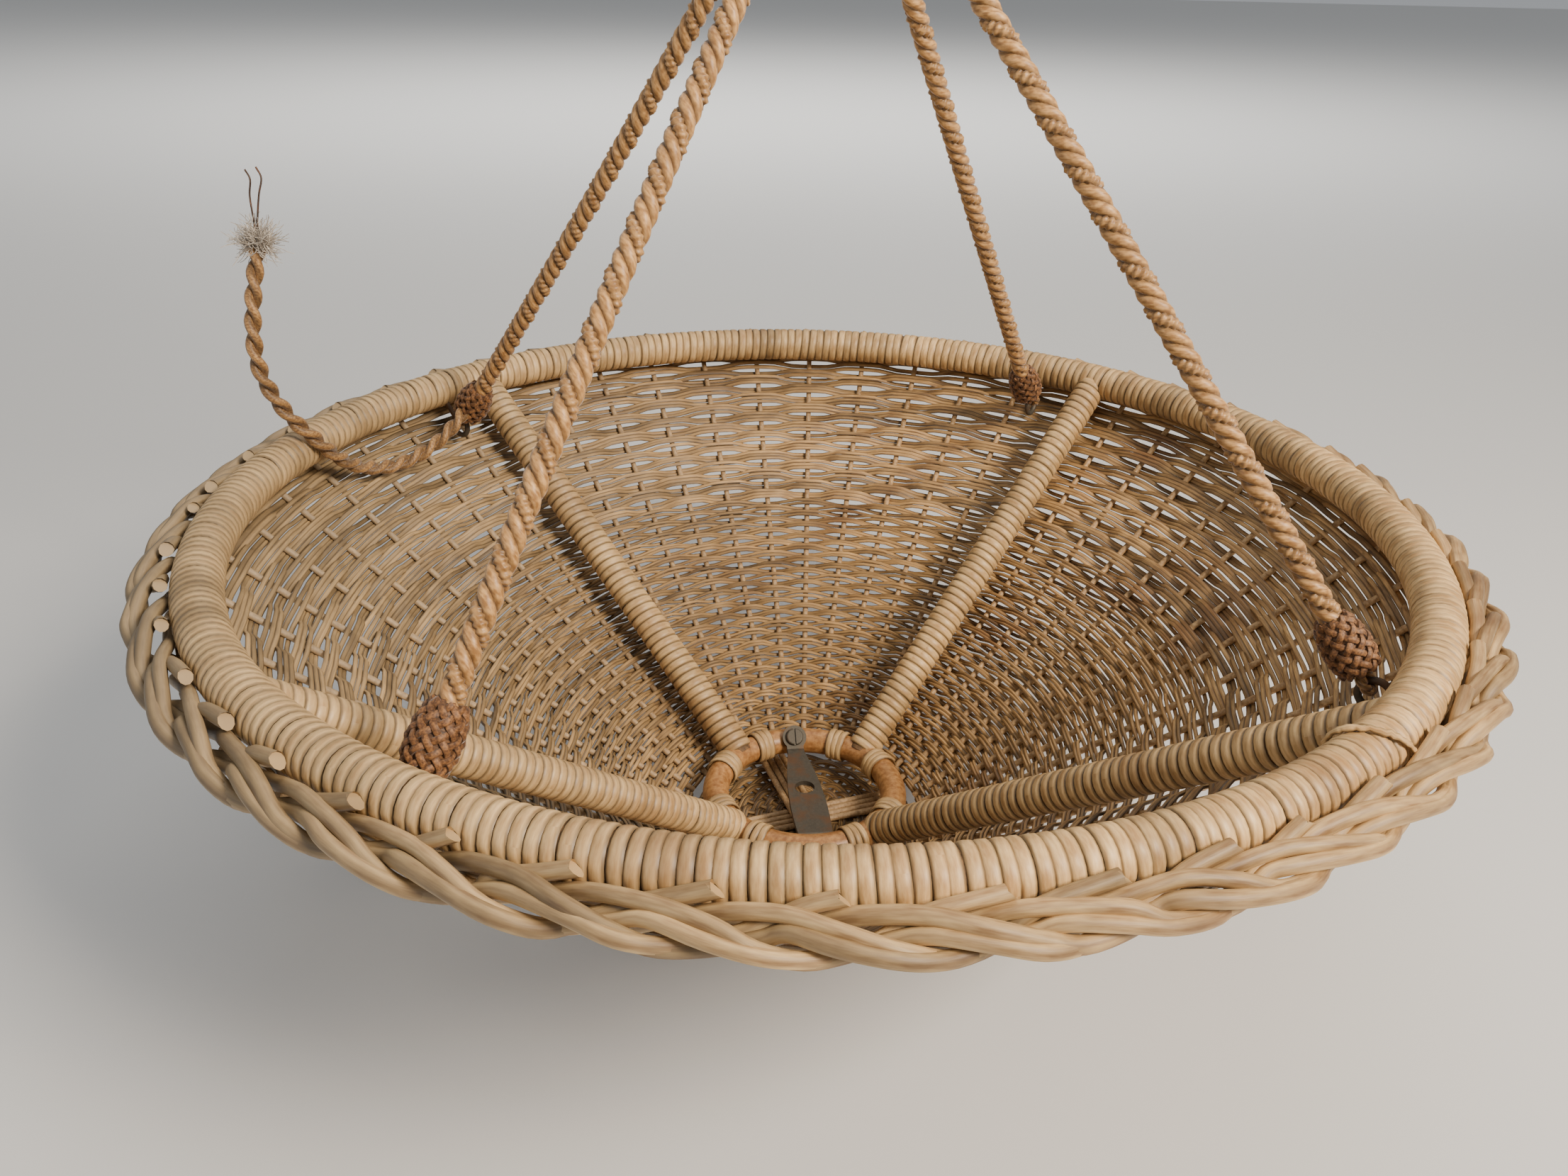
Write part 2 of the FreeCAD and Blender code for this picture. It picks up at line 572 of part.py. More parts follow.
def lamp_bracket():
    half = size("plate_thickness") / 2
    seat, line = bracket_side_line()
    pieces = []
    wide = size("bracket_width")
    for start, end in zip(line, line[1:]):
        run = (end - start)
        along = Vector(run).normalize()
        normal = Vector(-along.z, 0, along.x)
        corners = [start + normal * half, end + normal * half, end - normal * half, start - normal * half]
        face = Part.Face(Part.makePolygon(corners + corners[:1]))
        face.translate(Vector(0, -wide / 2, 0))
        pieces.append(face.extrude(Vector(0, wide, 0)))
    for corner in line[1:-1]:
        pieces.append(Part.makeCylinder(half, wide, corner - Vector(0, wide / 2, 0), Vector(0, 1, 0)))
    strap = pieces[0].fuse(pieces[1:]).removeSplitter()

    eye = size("bracket_eye_dia") / 2
    neck = size("bracket_neck") / 2
    broad = wide / 2
    foot_x = line[2].x - half
    knee_x = line[1].x
    outline = [Vector(seat.x, neck, 0), Vector(knee_x - 4, neck, 0), Vector(foot_x * 0.45, broad, 0),
               Vector(foot_x, broad - 0.8, 0)]
    upper = Part.BSplineCurve()
    upper.interpolate(outline[1:])
    mirrored = [Vector(p.x, -p.y, 0) for p in outline]
    lower = Part.BSplineCurve()
    lower.interpolate(list(reversed(mirrored[1:])))
    wire = Part.Wire([Part.LineSegment(outline[0], outline[1]).toShape(), upper.toShape(),
                      Part.LineSegment(outline[-1], mirrored[-1]).toShape(), lower.toShape(),
                      Part.LineSegment(mirrored[1], mirrored[0]).toShape(),
                      Part.LineSegment(mirrored[0], outline[0]).toShape()])
    bottom = -plate_depth() - 20
    plan = Part.Face(wire)
    plan.translate(Vector(0, 0, bottom))
    plan = plan.extrude(Vector(0, 0, 60))
    lean = bracket_lean()
    disc = Part.makeCylinder(eye, 3 * size("plate_thickness"), seat - lean * 1.5 * size("plate_thickness"), lean)
    strap = strap.common(plan.fuse(disc))
    hole = Part.makeCylinder(size("lamp_hole_dia") / 2, 20, Vector(0, 0, -plate_depth() - 10))
    shank = size("bracket_shank_dia") / 2 + 0.05
    eye_hole = Part.makeCylinder(shank, 10, seat - lean * 5, lean)
    foot_hole = Part.makeCylinder(shank, 10, Vector(foot_x - 3, 0, foot_screw_level()), Vector(1, 0, 0))
    strap = strap.cut([hole, eye_hole, foot_hole])
    obj = feature("lamp_bracket", strap.removeSplitter())
    obj.Placement = bracket_frame()


def foot_screw_level():
    return -plate_depth() - (size("plate_thickness") + size("bracket_screw_dia")) / 2 - 0.4


def slotted_screw(head_centre, axis):
    """A round slotted head sitting on a face, and its shank going along -axis."""
    radius = size("bracket_screw_dia") / 2
    rise = size("bracket_screw_head")
    head = Part.makeCylinder(radius, rise, head_centre, axis)
    rim_edges = [edge for edge in head.Edges if edge.Closed and (edge.CenterOfMass - head_centre).Length > 1]
    head = head.makeFillet(rise / 2, rim_edges)
    across = axis.cross(Vector(0, 1, 0)).normalize() if abs(axis.y) < 0.9 else Vector(1, 0, 0)
    slot_width = size("bracket_slot")
    slot = Part.makeBox(2 * radius + 1, slot_width, rise, Vector(-radius - 0.5, -slot_width / 2, 0))
    slot.Placement = Placement(head_centre + axis * (rise - size("bracket_slot_depth")),
                               Rotation(across, axis.cross(across), axis, "ZXY"))
    shank = Part.makeCylinder(size("bracket_shank_dia") / 2, size("bracket_shank_length"),
                              head_centre, axis * -1)
    return head.cut(slot).fuse(shank).removeSplitter()


def bracket_screws():
    half = size("plate_thickness") / 2
    seat, line = bracket_side_line()
    lean = bracket_lean()
    top_screw = slotted_screw(seat + lean * half, lean)
    foot_screw = slotted_screw(Vector(line[2].x + half, 0, foot_screw_level()), Vector(1, 0, 0))
    obj = feature("bracket_screws", Part.makeCompound([top_screw, foot_screw]))
    obj.Placement = bracket_frame()


# ---------------------------------------------------------------- lighting flex
def lighting_flex():
    wire = rounded_path(FLEX_POINTS, "flex")
    feature("flex", tube_along(wire, size("flex_dia"), "flex"))
    end = Vector(*FLEX_POINTS[-1])
    tuft = doc.addObject("Part::Sphere", "flex_fray")
    bind(tuft, Radius="Sizes.fray_dia / 2")
    centre = end + Vector(0.6, 3, size("fray_dia") / 2 + 0.2)
    keep(place(tuft, centre), "flex_fray")
    thick = size("wire_dia") / 2
    wires = []
    for side in (-1, 1):
        foot = centre + Vector(2 * thick * side, 0.8, size("fray_dia") / 2 + 0.3)
        lean = Vector(0.12 * side, 0.25, 1)
        wires.append(Part.makeCone(thick, 0.7 * thick, size("wire_length"), foot, lean))
    feature("flex_wires", Part.makeCompound(wires))


# ---------------------------------------------------------------- build, check and write
def main():
    ceiling_hook()
    suspension_ring()
    top_eye()
    top_seizing()
    for side, azimuth in ROPES.items():
        rope_set(side, azimuth)
    rim()
    lamp_ring()
    for side, azimuth in SPOKES.items():
        spoke(side, azimuth)
    centre_bindings()
    rim_tie()
    woven_wall()
    woven_base()
    border()
    lamp_bracket()
    bracket_screws()
    lighting_flex()
    doc.recompute()
    for obj in doc.Objects:
        if "Invalid" in obj.State or "Error" in obj.State:
            raise RuntimeError("%s failed: %s" % (obj.Name, obj.State))
    os.makedirs("parts", exist_ok=True)
    for name, obj in parts.items():
        shape = obj.Shape
        if shape.isNull() or not shape.isValid() or not shape.Solids:
            raise RuntimeError("%s has no valid solid" % name)
        shape.exportStep("parts/%s.step" % name)
    print("%d sub-parts written" % len(parts))


main()
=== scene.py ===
import math

import bpy
import numpy as np
from mathutils import Matrix, Vector


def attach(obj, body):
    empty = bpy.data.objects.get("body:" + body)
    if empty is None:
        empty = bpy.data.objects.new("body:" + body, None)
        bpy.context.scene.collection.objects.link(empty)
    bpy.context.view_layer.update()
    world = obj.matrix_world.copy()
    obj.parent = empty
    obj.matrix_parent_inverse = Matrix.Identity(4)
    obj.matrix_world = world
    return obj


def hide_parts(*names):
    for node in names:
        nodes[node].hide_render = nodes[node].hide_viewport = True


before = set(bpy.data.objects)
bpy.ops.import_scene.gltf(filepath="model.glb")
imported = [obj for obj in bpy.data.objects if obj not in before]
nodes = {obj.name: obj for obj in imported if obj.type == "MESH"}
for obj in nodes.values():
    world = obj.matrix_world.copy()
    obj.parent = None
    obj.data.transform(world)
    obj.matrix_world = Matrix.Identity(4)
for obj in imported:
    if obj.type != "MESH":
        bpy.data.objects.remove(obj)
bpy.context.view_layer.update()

# Hanging wicker lamp bowl: cane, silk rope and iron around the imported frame.
# Sizes in the settings are millimetres, and angles are degrees; the meshes are in metres.
mm = 0.001
sides = ("back_left", "back_right", "front_left", "front_right")
# directions that no strand and no turn follows, so that a cross product with them never fails
sectionStart, turnStart = (0.31, 0.17, 0.93), (0.37, 0.21, 0.9)
bpy.ops.object.select_all(action="DESELECT")


# The camera stands in front, a little below the ropes' meeting point, and looks down into the bowl.

cameraSettings = {"place": (-0.0127, -0.4920, -0.1715), "tilt": 62.846, "roll": 1.355, "lens": 27.63, "sensor": 36}


def addCamera(s):
    bpy.ops.object.camera_add()
    camera = bpy.context.object
    camera.data.lens = s["lens"]
    camera.data.sensor_width = s["sensor"]
    camera.matrix_world = (Matrix.Translation(s["place"]) @ Matrix.Rotation(math.radians(s["tilt"]), 4, "X")
                           @ Matrix.Rotation(math.radians(s["roll"]), 4, "Z"))
    bpy.context.scene.camera = camera


addCamera(cameraSettings)
print("camera set")


# Mesh tools shared by the woven, wrapped and twisted pieces.

def unit(vectors):
    return vectors / np.linalg.norm(vectors, axis=-1, keepdims=True)


def frameAlong(line, closed, up):
    ahead = unit(np.roll(line, -1, 0) - np.roll(line, 1, 0) if closed else np.gradient(line, axis=0))
    if up is None:  # carried along without twist
        outward = np.zeros_like(ahead)
        current = np.cross(ahead[0], sectionStart)
        for i, direction in enumerate(ahead):
            current = unit(current - direction * (current @ direction))
            outward[i] = current
    else:
        outward = unit(up - ahead * np.sum(up * ahead, axis=1, keepdims=True))
    return ahead, outward, np.cross(ahead, outward)


def strand(line, width, thick, count=8, closed=False, up=None, scale=None, tone=0.0, slope=0.0):
    # one rod, strip or yarn: a ring of points at each point of the line
    ahead, outward, across = frameAlong(line, closed, up)
    angle = np.arange(count) * 2 * math.pi / count
    size = np.ones(len(line)) if scale is None else np.asarray(scale)
    ring = (np.cos(angle)[None, :, None] * outward[:, None] * thick / 2
            + np.sin(angle)[None, :, None] * across[:, None] * width / 2)
    points = line[:, None] + size[:, None, None] * ring
    if slope:  # a slanting cut across the far end
        points[-1] -= slope * thick / 2 * np.cos(angle)[:, None] * ahead[-1]
    rows = len(line)
    i, j = [grid.ravel() for grid in np.meshgrid(np.arange(rows if closed else rows - 1), np.arange(count),
                                                  indexing="ij")]
    nextI, nextJ = (i + 1) % rows, (j + 1) % count
    quads = np.stack([i * count + j, i * count + nextJ, nextI * count + nextJ, nextI * count + j], 1)
    steps = np.linalg.norm(np.diff(line, axis=0, append=line[:1]), axis=1)
    along = np.concatenate([[0], np.cumsum(steps)])
    low, high = j / count, (j + 1) / count
    uvs = np.stack([np.stack([along[i], low], 1), np.stack([along[i], high], 1),
                    np.stack([along[i + 1], high], 1), np.stack([along[i + 1], low], 1)], 1)
    caps = [] if closed else [list(range(count))[::-1], list(range((rows - 1) * count, rows * count))]
    tones = np.broadcast_to(np.asarray(tone, float), (rows,)).repeat(count)
    return {"points": points.reshape(-1, 3), "quads": quads, "uvs": uvs.reshape(-1, 2), "caps": caps, "tones": tones}


def turnMaster(radius, width, thick, around=20, section=8, flatness=0.6):
    # one turn of a wrapping strip: a torus squashed into a flat strip, its hole along Z
    bpy.ops.mesh.primitive_torus_add(major_radius=radius, minor_radius=thick / 2, major_segments=around,
                                     minor_segments=section)
    turn = bpy.context.object
    bpy.ops.object.mode_set(mode="EDIT")
    bpy.ops.mesh.select_all(action="SELECT")
    bpy.ops.transform.resize(value=(1, 1, width / thick))
    bpy.ops.object.mode_set(mode="OBJECT")
    mesh = turn.data
    uvs = np.array([loop.uv for loop in mesh.uv_layers[0].data]) * (2 * math.pi * radius, 1)
    points = np.array([v.co for v in mesh.vertices])
    reach = np.hypot(points[:, 0], points[:, 1])
    off = (reach - radius) / (thick / 2)
    flatter = radius + np.sign(off) * np.abs(off) ** flatness * thick / 2
    points[:, :2] *= (flatter / reach)[:, None]
    master = {"points": points, "uvs": uvs, "caps": [],
              "quads": np.array([list(face.vertices) for face in mesh.polygons])}
    bpy.data.objects.remove(turn)
    return master


def copyTurn(master, centre, axis, spin, tone):
    # a copy of one turn round a tube that runs along axis
    z = unit(np.asarray(axis, float))
    x = unit(np.cross(z, turnStart))
    y = np.cross(z, x)
    turned = np.array([math.cos(spin) * x + math.sin(spin) * y, -math.sin(spin) * x + math.cos(spin) * y, z])
    points = master["points"] @ turned + np.asarray(centre)
    return {**master, "points": points, "tones": np.full(len(points), tone)}


def buildPiece(name, strands, material, replaces, body="bowl"):
    points, faces, uvs, capUvs, tones, offset = [], [], [], [], [], 0
    caps = []
    for s in strands:
        points.append(s["points"])
        faces += (s["quads"] + offset).tolist()
        caps += [[index + offset for index in cap] for cap in s["caps"]]
        capUvs += [(0.0, 0.5)] * sum(len(cap) for cap in s["caps"])
        uvs.append(s["uvs"])
        tones.append(s["tones"])
        offset += len(s["points"])
    mesh = bpy.data.meshes.new(name)
    mesh.from_pydata(np.concatenate(points).tolist(), [], faces + caps)
    allUvs = np.concatenate(uvs + ([np.array(capUvs)] if capUvs else []))
    mesh.uv_layers.new(name="UVMap").data.foreach_set("uv", allUvs.astype(np.float32).ravel())
    mesh.attributes.new("tone", "FLOAT", "POINT").data.foreach_set("value", np.concatenate(tones).astype(np.float32))
    mesh.shade_smooth()
    mesh.set_sharp_from_angle(angle=math.radians(60))
    mesh.materials.append(material)
    piece = bpy.data.objects.new(name, mesh)
    bpy.context.scene.collection.objects.link(piece)
    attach(piece, body)
    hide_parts(*replaces)
    print(name, len(mesh.polygons), "faces")
    return piece


def splineLine(name, points):
    curve = bpy.data.curves.new(name, "CURVE")
    curve.dimensions = "3D"
    spline = curve.splines.new("NURBS")
    spline.points.add(len(points) - 1)
    for point, place in zip(spline.points, points):
        point.co = (*place, 1)
    spline.order_u = 3
    spline.use_endpoint_u = True
    spline.resolution_u = 24
    helper = bpy.data.objects.new(name, curve)
    bpy.context.scene.collection.objects.link(helper)
    mesh = bpy.data.meshes.new_from_object(helper)
    line = np.array([v.co for v in mesh.vertices])
    bpy.data.objects.remove(helper)
    return line


def evenly(line, step):
    along = np.concatenate([[0], np.cumsum(np.linalg.norm(np.diff(line, axis=0), axis=1))])
    count = max(2, int(round(along[-1] / step)) + 1)
    wanted = np.linspace(0, along[-1], count)
    return np.stack([np.interp(wanted, along, line[:, k]) for k in range(3)], 1)


def throughPoints(points, spans):
    # a smooth line through given points
    p = np.asarray(points, float)
    p = np.vstack([2 * p[0] - p[1], p, 2 * p[-1] - p[-2]])
    t = np.linspace(0, 1, spans, endpoint=False)[:, None]
    out = [0.5 * (2 * b + (c - a) * t + (2 * a - 5 * b + 4 * c - d) * t ** 2 + (3 * b - a - 3 * c + d) * t ** 3)
           for a, b, c, d in zip(p, p[1:], p[2:], p[3:])]
    return np.vstack(out + [p[-2:-1]])


def helix(line, radius, pitch, phase):
    # a yarn laid round a line; a negative pitch turns it left-handed
    ahead, outward, across = frameAlong(line, False, None)
    steps = np.linalg.norm(np.diff(line, axis=0), axis=1)
    turn = 2 * math.pi * np.concatenate([[0], np.cumsum(steps)]) / pitch + phase
    return line + radius * (np.cos(turn)[:, None] * outward + np.sin(turn)[:, None] * across)


def compass(azimuth, radius=1.0, height=0.0):
    a = math.radians(azimuth)
    return np.array([radius * math.cos(a), radius * math.sin(a), height])


# Materials.

def linear(hexCode):
    values = [int(hexCode[k:k + 2], 16) / 255 for k in (1, 3, 5)]
    return [v / 12.92 if v <= 0.04045 else ((v + 0.055) / 1.055) ** 2.4 for v in values] + [1.0]


def addNode(tree, kind, settings=None, links=None):
    node = tree.nodes.new(kind)
    for name, value in (settings or {}).items():
        if isinstance(name, int) or name in node.inputs:
            node.inputs[name].default_value = value
        else:
            setattr(node, name, value)
    for name, source in (links or {}).items():
        tree.links.new(source, node.inputs[name])
    return node


def newMaterial(name, roughness, metallic=0.0, ior=1.5):
    material = bpy.data.materials.new(name)
    material.use_nodes = True
    tree = material.node_tree
    shader = tree.nodes["Principled BSDF"]
    shader.inputs["Roughness"].default_value = roughness
    shader.inputs["Metallic"].default_value = metallic
    shader.inputs["IOR"].default_value = ior
    return material, tree, shader


def creaseShade(tree, place, depth):
    # painted shade along both sides of a strand or yarn, where it meets its neighbours
    section = addNode(tree, "ShaderNodeSeparateXYZ", {}, {"Vector": place.outputs["UV"]})
    around = addNode(tree, "ShaderNodeMath", {"operation": "MULTIPLY", 1: 2 * math.pi}, {0: section.outputs["Y"]})
    side = addNode(tree, "ShaderNodeMath", {"operation": "SINE"}, {0: around.outputs["Value"]})
    size = addNode(tree, "ShaderNodeMath", {"operation": "ABSOLUTE"}, {0: side.outputs["Value"]})
    return addNode(tree, "ShaderNodeMapRange",
                   {"From Min": 0.55, "From Max": 1.0, "To Min": 1.0, "To Max": 1 - depth},
                   {"Value": size.outputs["Value"]})


def plantFibre(name, s):
    # peeled rattan or cane: long fibres, darker dirt in places, brown stains, greyer on the dusty side
    material, tree, shader = newMaterial(name, s["roughness"])
    place = addNode(tree, "ShaderNodeTexCoord")
    if s.get("follows", True):
        scaled = addNode(tree, "ShaderNodeMapping", {"Scale": (1 / (s["fibreLength"] * mm), s["fibres"], 1)},
                         {"Vector": place.outputs["UV"]})
        fibreAt, fibreScale = scaled.outputs["Vector"], 1.0
    else:
        fibreAt, fibreScale = place.outputs["Object"], 1 / (s["fibreWidth"] * mm)
    fibre = addNode(tree, "ShaderNodeTexNoise", {"Scale": fibreScale, "Detail": 3.0, "Roughness": 0.6},
                    {"Vector": fibreAt})
    blotch = addNode(tree, "ShaderNodeTexNoise", {"Scale": 1 / (s["blotch"] * mm), "Detail": 4.0},
                     {"Vector": place.outputs["Object"]})
    patch = addNode(tree, "ShaderNodeTexNoise", {"Scale": 1 / (s["patch"] * mm), "Detail": 2.0},
                    {"Vector": place.outputs["Object"]})
    tone = addNode(tree, "ShaderNodeAttribute", {"attribute_name": "tone"})
    contrast = addNode(tree, "ShaderNodeMapRange", {"From Min": 0.32, "From Max": 0.68},
                       {"Value": fibre.outputs["Fac"]})
    base = addNode(tree, "ShaderNodeMix", {"data_type": "RGBA", 6: linear(s["dark"]), 7: linear(s["light"])},
                   {0: contrast.outputs["Result"]})
    stainAmount = addNode(tree, "ShaderNodeMapRange", {"From Min": 0.55, "From Max": 0.72, "To Max": s["stained"]},
                          {"Value": patch.outputs["Fac"]})
    stained = addNode(tree, "ShaderNodeMix", {"data_type": "RGBA", 7: linear(s["stain"])},
                      {0: stainAmount.outputs["Result"], 6: base.outputs[2]})
    across = addNode(tree, "ShaderNodeSeparateXYZ", {}, {"Vector": place.outputs["Object"]})
    greyAmount = addNode(tree, "ShaderNodeMapRange", {"From Min": 0.05, "From Max": -0.24, "To Max": s["greyed"]},
                         {"Value": across.outputs["X"]})
    greyed = addNode(tree, "ShaderNodeMix", {"data_type": "RGBA", 7: linear(s["grey"])},
                     {0: greyAmount.outputs["Result"], 6: stained.outputs[2]})
    blotchAmount = addNode(tree, "ShaderNodeMapRange",
                           {"From Min": 0.3, "From Max": 0.75, "To Min": 0.86, "To Max": 1.1},
                           {"Value": blotch.outputs["Fac"]})
    toneAmount = addNode(tree, "ShaderNodeMath", {"operation": "MULTIPLY_ADD", 1: s["toneReach"]},
                         {0: tone.outputs["Fac"], 2: blotchAmount.outputs["Result"]})
    # the tone times the painted shade along the strand's sides
    toneAndCreaseShade = addNode(tree, "ShaderNodeMath", {"operation": "MULTIPLY"},
                      {0: toneAmount.outputs["Value"],
                       1: creaseShade(tree, place, s.get("creaseShadeDepth", 0.0)).outputs["Result"]})
    shade = addNode(tree, "ShaderNodeVectorMath", {"operation": "SCALE"},
                    {0: greyed.outputs[2], "Scale": toneAndCreaseShade.outputs["Value"]})
    tree.links.new(shade.outputs["Vector"], shader.inputs["Base Color"])
    bump = addNode(tree, "ShaderNodeBump", {"Strength": s["bump"], "Distance": 0.25 * mm},
                   {"Height": fibre.outputs["Fac"]})
    tree.links.new(bump.outputs["Normal"], shader.inputs["Normal"])
    return material


def twistedYarn(name, s):
    # silk or cotton yarn: fine threads along or round each yarn, a soft sheen, dirt in patches
    material, tree, shader = newMaterial(name, s["roughness"])
    shader.inputs["Sheen Weight"].default_value = s["sheen"]
    shader.inputs["Sheen Roughness"].default_value = 0.4
    place = addNode(tree, "ShaderNodeTexCoord")
    scaled = addNode(tree, "ShaderNodeMapping", {"Scale": (1 / (s["threadLength"] * mm), s["threads"], 1),
                                                 "Rotation": (0, 0, s.get("slant", 0))},
                     {"Vector": place.outputs["UV"]})
    thread = addNode(tree, "ShaderNodeTexNoise", {"Scale": 1.0, "Detail": 2.0}, {"Vector": scaled.outputs["Vector"]})
    patch = addNode(tree, "ShaderNodeTexNoise", {"Scale": 1 / (s["patch"] * mm), "Detail": 4.0},
                    {"Vector": place.outputs["Object"]})
    contrast = addNode(tree, "ShaderNodeMapRange", {"From Min": 0.35, "From Max": 0.65},
                       {"Value": thread.outputs["Fac"]})
    base = addNode(tree, "ShaderNodeMix", {"data_type": "RGBA", 6: linear(s["dark"]), 7: linear(s["light"])},
                   {0: contrast.outputs["Result"]})
    dirt = addNode(tree, "ShaderNodeMapRange", {"From Min": 0.5, "From Max": 0.75, "To Max": s["dirty"]},
                   {"Value": patch.outputs["Fac"]})
    dirtied = addNode(tree, "ShaderNodeMix", {"data_type": "RGBA", 7: linear(s["dirt"])},
                      {0: dirt.outputs["Result"], 6: base.outputs[2]})
    tone = addNode(tree, "ShaderNodeAttribute", {"attribute_name": "tone"})
    toneAmount = addNode(tree, "ShaderNodeMath", {"operation": "MULTIPLY_ADD", 1: 0.3, 2: 1.0},
                         {0: tone.outputs["Fac"]})
    # the tone times the painted shade along the yarn's sides
    toneAndCreaseShade = addNode(tree, "ShaderNodeMath", {"operation": "MULTIPLY"},
                      {0: toneAmount.outputs["Value"], 1: creaseShade(tree, place, s["creaseShadeDepth"]).outputs["Result"]})
    shade = addNode(tree, "ShaderNodeVectorMath", {"operation": "SCALE"},
                    {0: dirtied.outputs[2], "Scale": toneAndCreaseShade.outputs["Value"]})
    tree.links.new(shade.outputs["Vector"], shader.inputs["Base Color"])
    bump = addNode(tree, "ShaderNodeBump", {"Strength": s["bump"], "Distance": 0.2 * mm},
                   {"Height": thread.outputs["Fac"]})
    tree.links.new(bump.outputs["Normal"], shader.inputs["Normal"])
    return material


def agedIron(name, s):
    # forged and punched iron: dark oxide with rust in patches and a grain of about a millimetre
    material, tree, shader = newMaterial(name, s["roughness"], s["metallic"])
    place = addNode(tree, "ShaderNodeTexCoord")
    grain = addNode(tree, "ShaderNodeTexNoise", {"Scale": 1 / (s["grain"] * mm), "Detail": 5.0, "Roughness": 0.7},
                    {"Vector": place.outputs["Object"]})
    patch = addNode(tree, "ShaderNodeTexNoise", {"Scale": 1 / (s["patch"] * mm), "Detail": 3.0},
                    {"Vector": place.outputs["Object"]})
    base = addNode(tree, "ShaderNodeMix", {"data_type": "RGBA", 6: linear(s["dark"]), 7: linear(s["light"])},
                   {0: grain.outputs["Fac"]})
    rustAmount = addNode(tree, "ShaderNodeMapRange", {"From Min": 0.48, "From Max": 0.66, "To Max": s["rusted"]},
                         {"Value": patch.outputs["Fac"]})
    rusted = addNode(tree, "ShaderNodeMix", {"data_type": "RGBA", 7: linear(s["rust"])},
                     {0: rustAmount.outputs["Result"], 6: base.outputs[2]})
    tree.links.new(rusted.outputs[2], shader.inputs["Base Color"])
    rough = addNode(tree, "ShaderNodeMapRange", {"To Min": s["roughness"] - 0.12, "To Max": s["roughness"] + 0.2},
                    {"Value": grain.outputs["Fac"]})
    tree.links.new(rough.outputs["Result"], shader.inputs["Roughness"])
    bump = addNode(tree, "ShaderNodeBump", {"Strength": 0.5, "Distance": 0.2 * mm}, {"Height": grain.outputs["Fac"]})
    tree.links.new(bump.outputs["Normal"], shader.inputs["Normal"])
    return material


# flat strips of rattan peel with its smooth skin outwards: satin, straw yellow, a few brown turns
wrappingCane = plantFibre("rattanPeelWrapping", {
    "light": "#DDB981", "dark": "#A98250", "stain": "#7E5127", "grey": "#9E8B6B", "creaseShadeDepth": 0.65,
    "fibreLength": 9, "fibres": 7,
    "blotch": 14, "patch": 50, "stained": 0.45, "greyed": 0.4, "toneReach": 0.2, "roughness": 0.48, "bump": 0.35})
# split round cane, dry and dull, the fibres showing as dark lines
wovenCane = plantFibre("splitCaneWeave", {
    "light": "#C29A62", "dark": "#7A5730", "stain": "#643A18", "grey": "#8E7E60", "creaseShadeDepth": 0.7,
    "fibreLength": 12, "fibres": 5,
    "blotch": 9, "patch": 60, "stained": 0.6, "greyed": 0.6, "toneReach": 0.45, "roughness": 0.58, "bump": 0.7})
# whole willow-like rods of the border, weathered: faint flutes and grey dirt on the left
borderCane = plantFibre("weatheredRodBorder", {
    "light": "#CFAE7A", "dark": "#866239", "stain": "#5C3B1F", "grey": "#807158", "creaseShadeDepth": 0.35,
    "fibreLength": 22, "fibres": 6,
    "blotch": 10, "patch": 45, "stained": 0.6, "greyed": 0.75, "toneReach": 0.36, "roughness": 0.52, "bump": 0.9})
# thick bare cane of the lamp ring, polished by use: orange brown
ringCane = plantFibre("barePolishedCane", {
    "light": "#B98750", "dark": "#8A5A2E", "stain": "#6B3F1E", "grey": "#8A7350", "fibreWidth": 2.5, "follows": False,
    "blotch": 6, "patch": 20, "stained": 0.5, "greyed": 0.0, "toneReach": 0.0, "roughness": 0.42, "bump": 0.3})
# upright stakes: round cane seen as short pale pegs between the strands
stakeCane = plantFibre("roundCaneStakes", {
    "light": "#C4A070", "dark": "#8C683E", "stain": "#7A5630", "grey": "#9C8E76", "fibreWidth": 1.6, "follows": False,
    "blotch": 6, "patch": 40, "stained": 0.3, "greyed": 0.6, "toneReach": 0.0, "roughness": 0.6, "bump": 0.4})
# the hoop and spoke rods show only as the dark line between two turns; their wood is coloured dark as painted shade
# in those grooves
hoopWoodGrooveShade = plantFibre("bentHoopWoodGrooveShade", {
    "light": "#7B5A36", "dark": "#4E3820", "stain": "#4A3018", "grey": "#6A5A44", "fibreWidth": 2.0, "follows": False,
    "blotch": 8, "patch": 40, "stained": 0.4, "greyed": 0.3, "toneReach": 0.0, "roughness": 0.75, "bump": 0.4})
# rayon-like silk cord: peach tan, fine threads that slant round each yarn, a soft shine
silkRope = twistedYarn("silkCordRope", {
    "light": "#CF9F63", "dark": "#946837", "dirt": "#74502C", "dirty": 0.4, "creaseShadeDepth": 0.55,
    "threadLength": 2.2, "threads": 9,
    "slant": 0.5, "patch": 16, "roughness": 0.46, "sheen": 0.35, "bump": 0.5})
# the same silk worked into knobs and whipping, stained red brown
knobCord = twistedYarn("stainedKnobCord", {
    "light": "#95663A", "dark": "#54341A", "dirt": "#3E2612", "dirty": 0.5, "creaseShadeDepth": 0.45,
    "threadLength": 0.8, "threads": 6,
    "patch": 7, "roughness": 0.62, "sheen": 0.2, "bump": 0.7})
# old braided silk over the lamp wires: brown, dusty
flexSilk = twistedYarn("braidedSilkFlex", {
    "light": "#B08650", "dark": "#74502C", "dirt": "#5A442C", "dirty": 0.4, "creaseShadeDepth": 0.5,
    "threadLength": 0.9, "threads": 12,
    "slant": 0.7, "patch": 12, "roughness": 0.55, "sheen": 0.3, "bump": 0.6})
# loose cotton filling of the flex: off white, matt
looseCotton = twistedYarn("looseCottonFibre", {
    "light": "#CFC5B6", "dark": "#9A8E80", "dirt": "#7E6E5C", "dirty": 0.4, "creaseShadeDepth": 0.0,
    "threadLength": 3, "threads": 2,
    "patch": 6, "roughness": 0.85, "sheen": 0.3, "bump": 0.2})
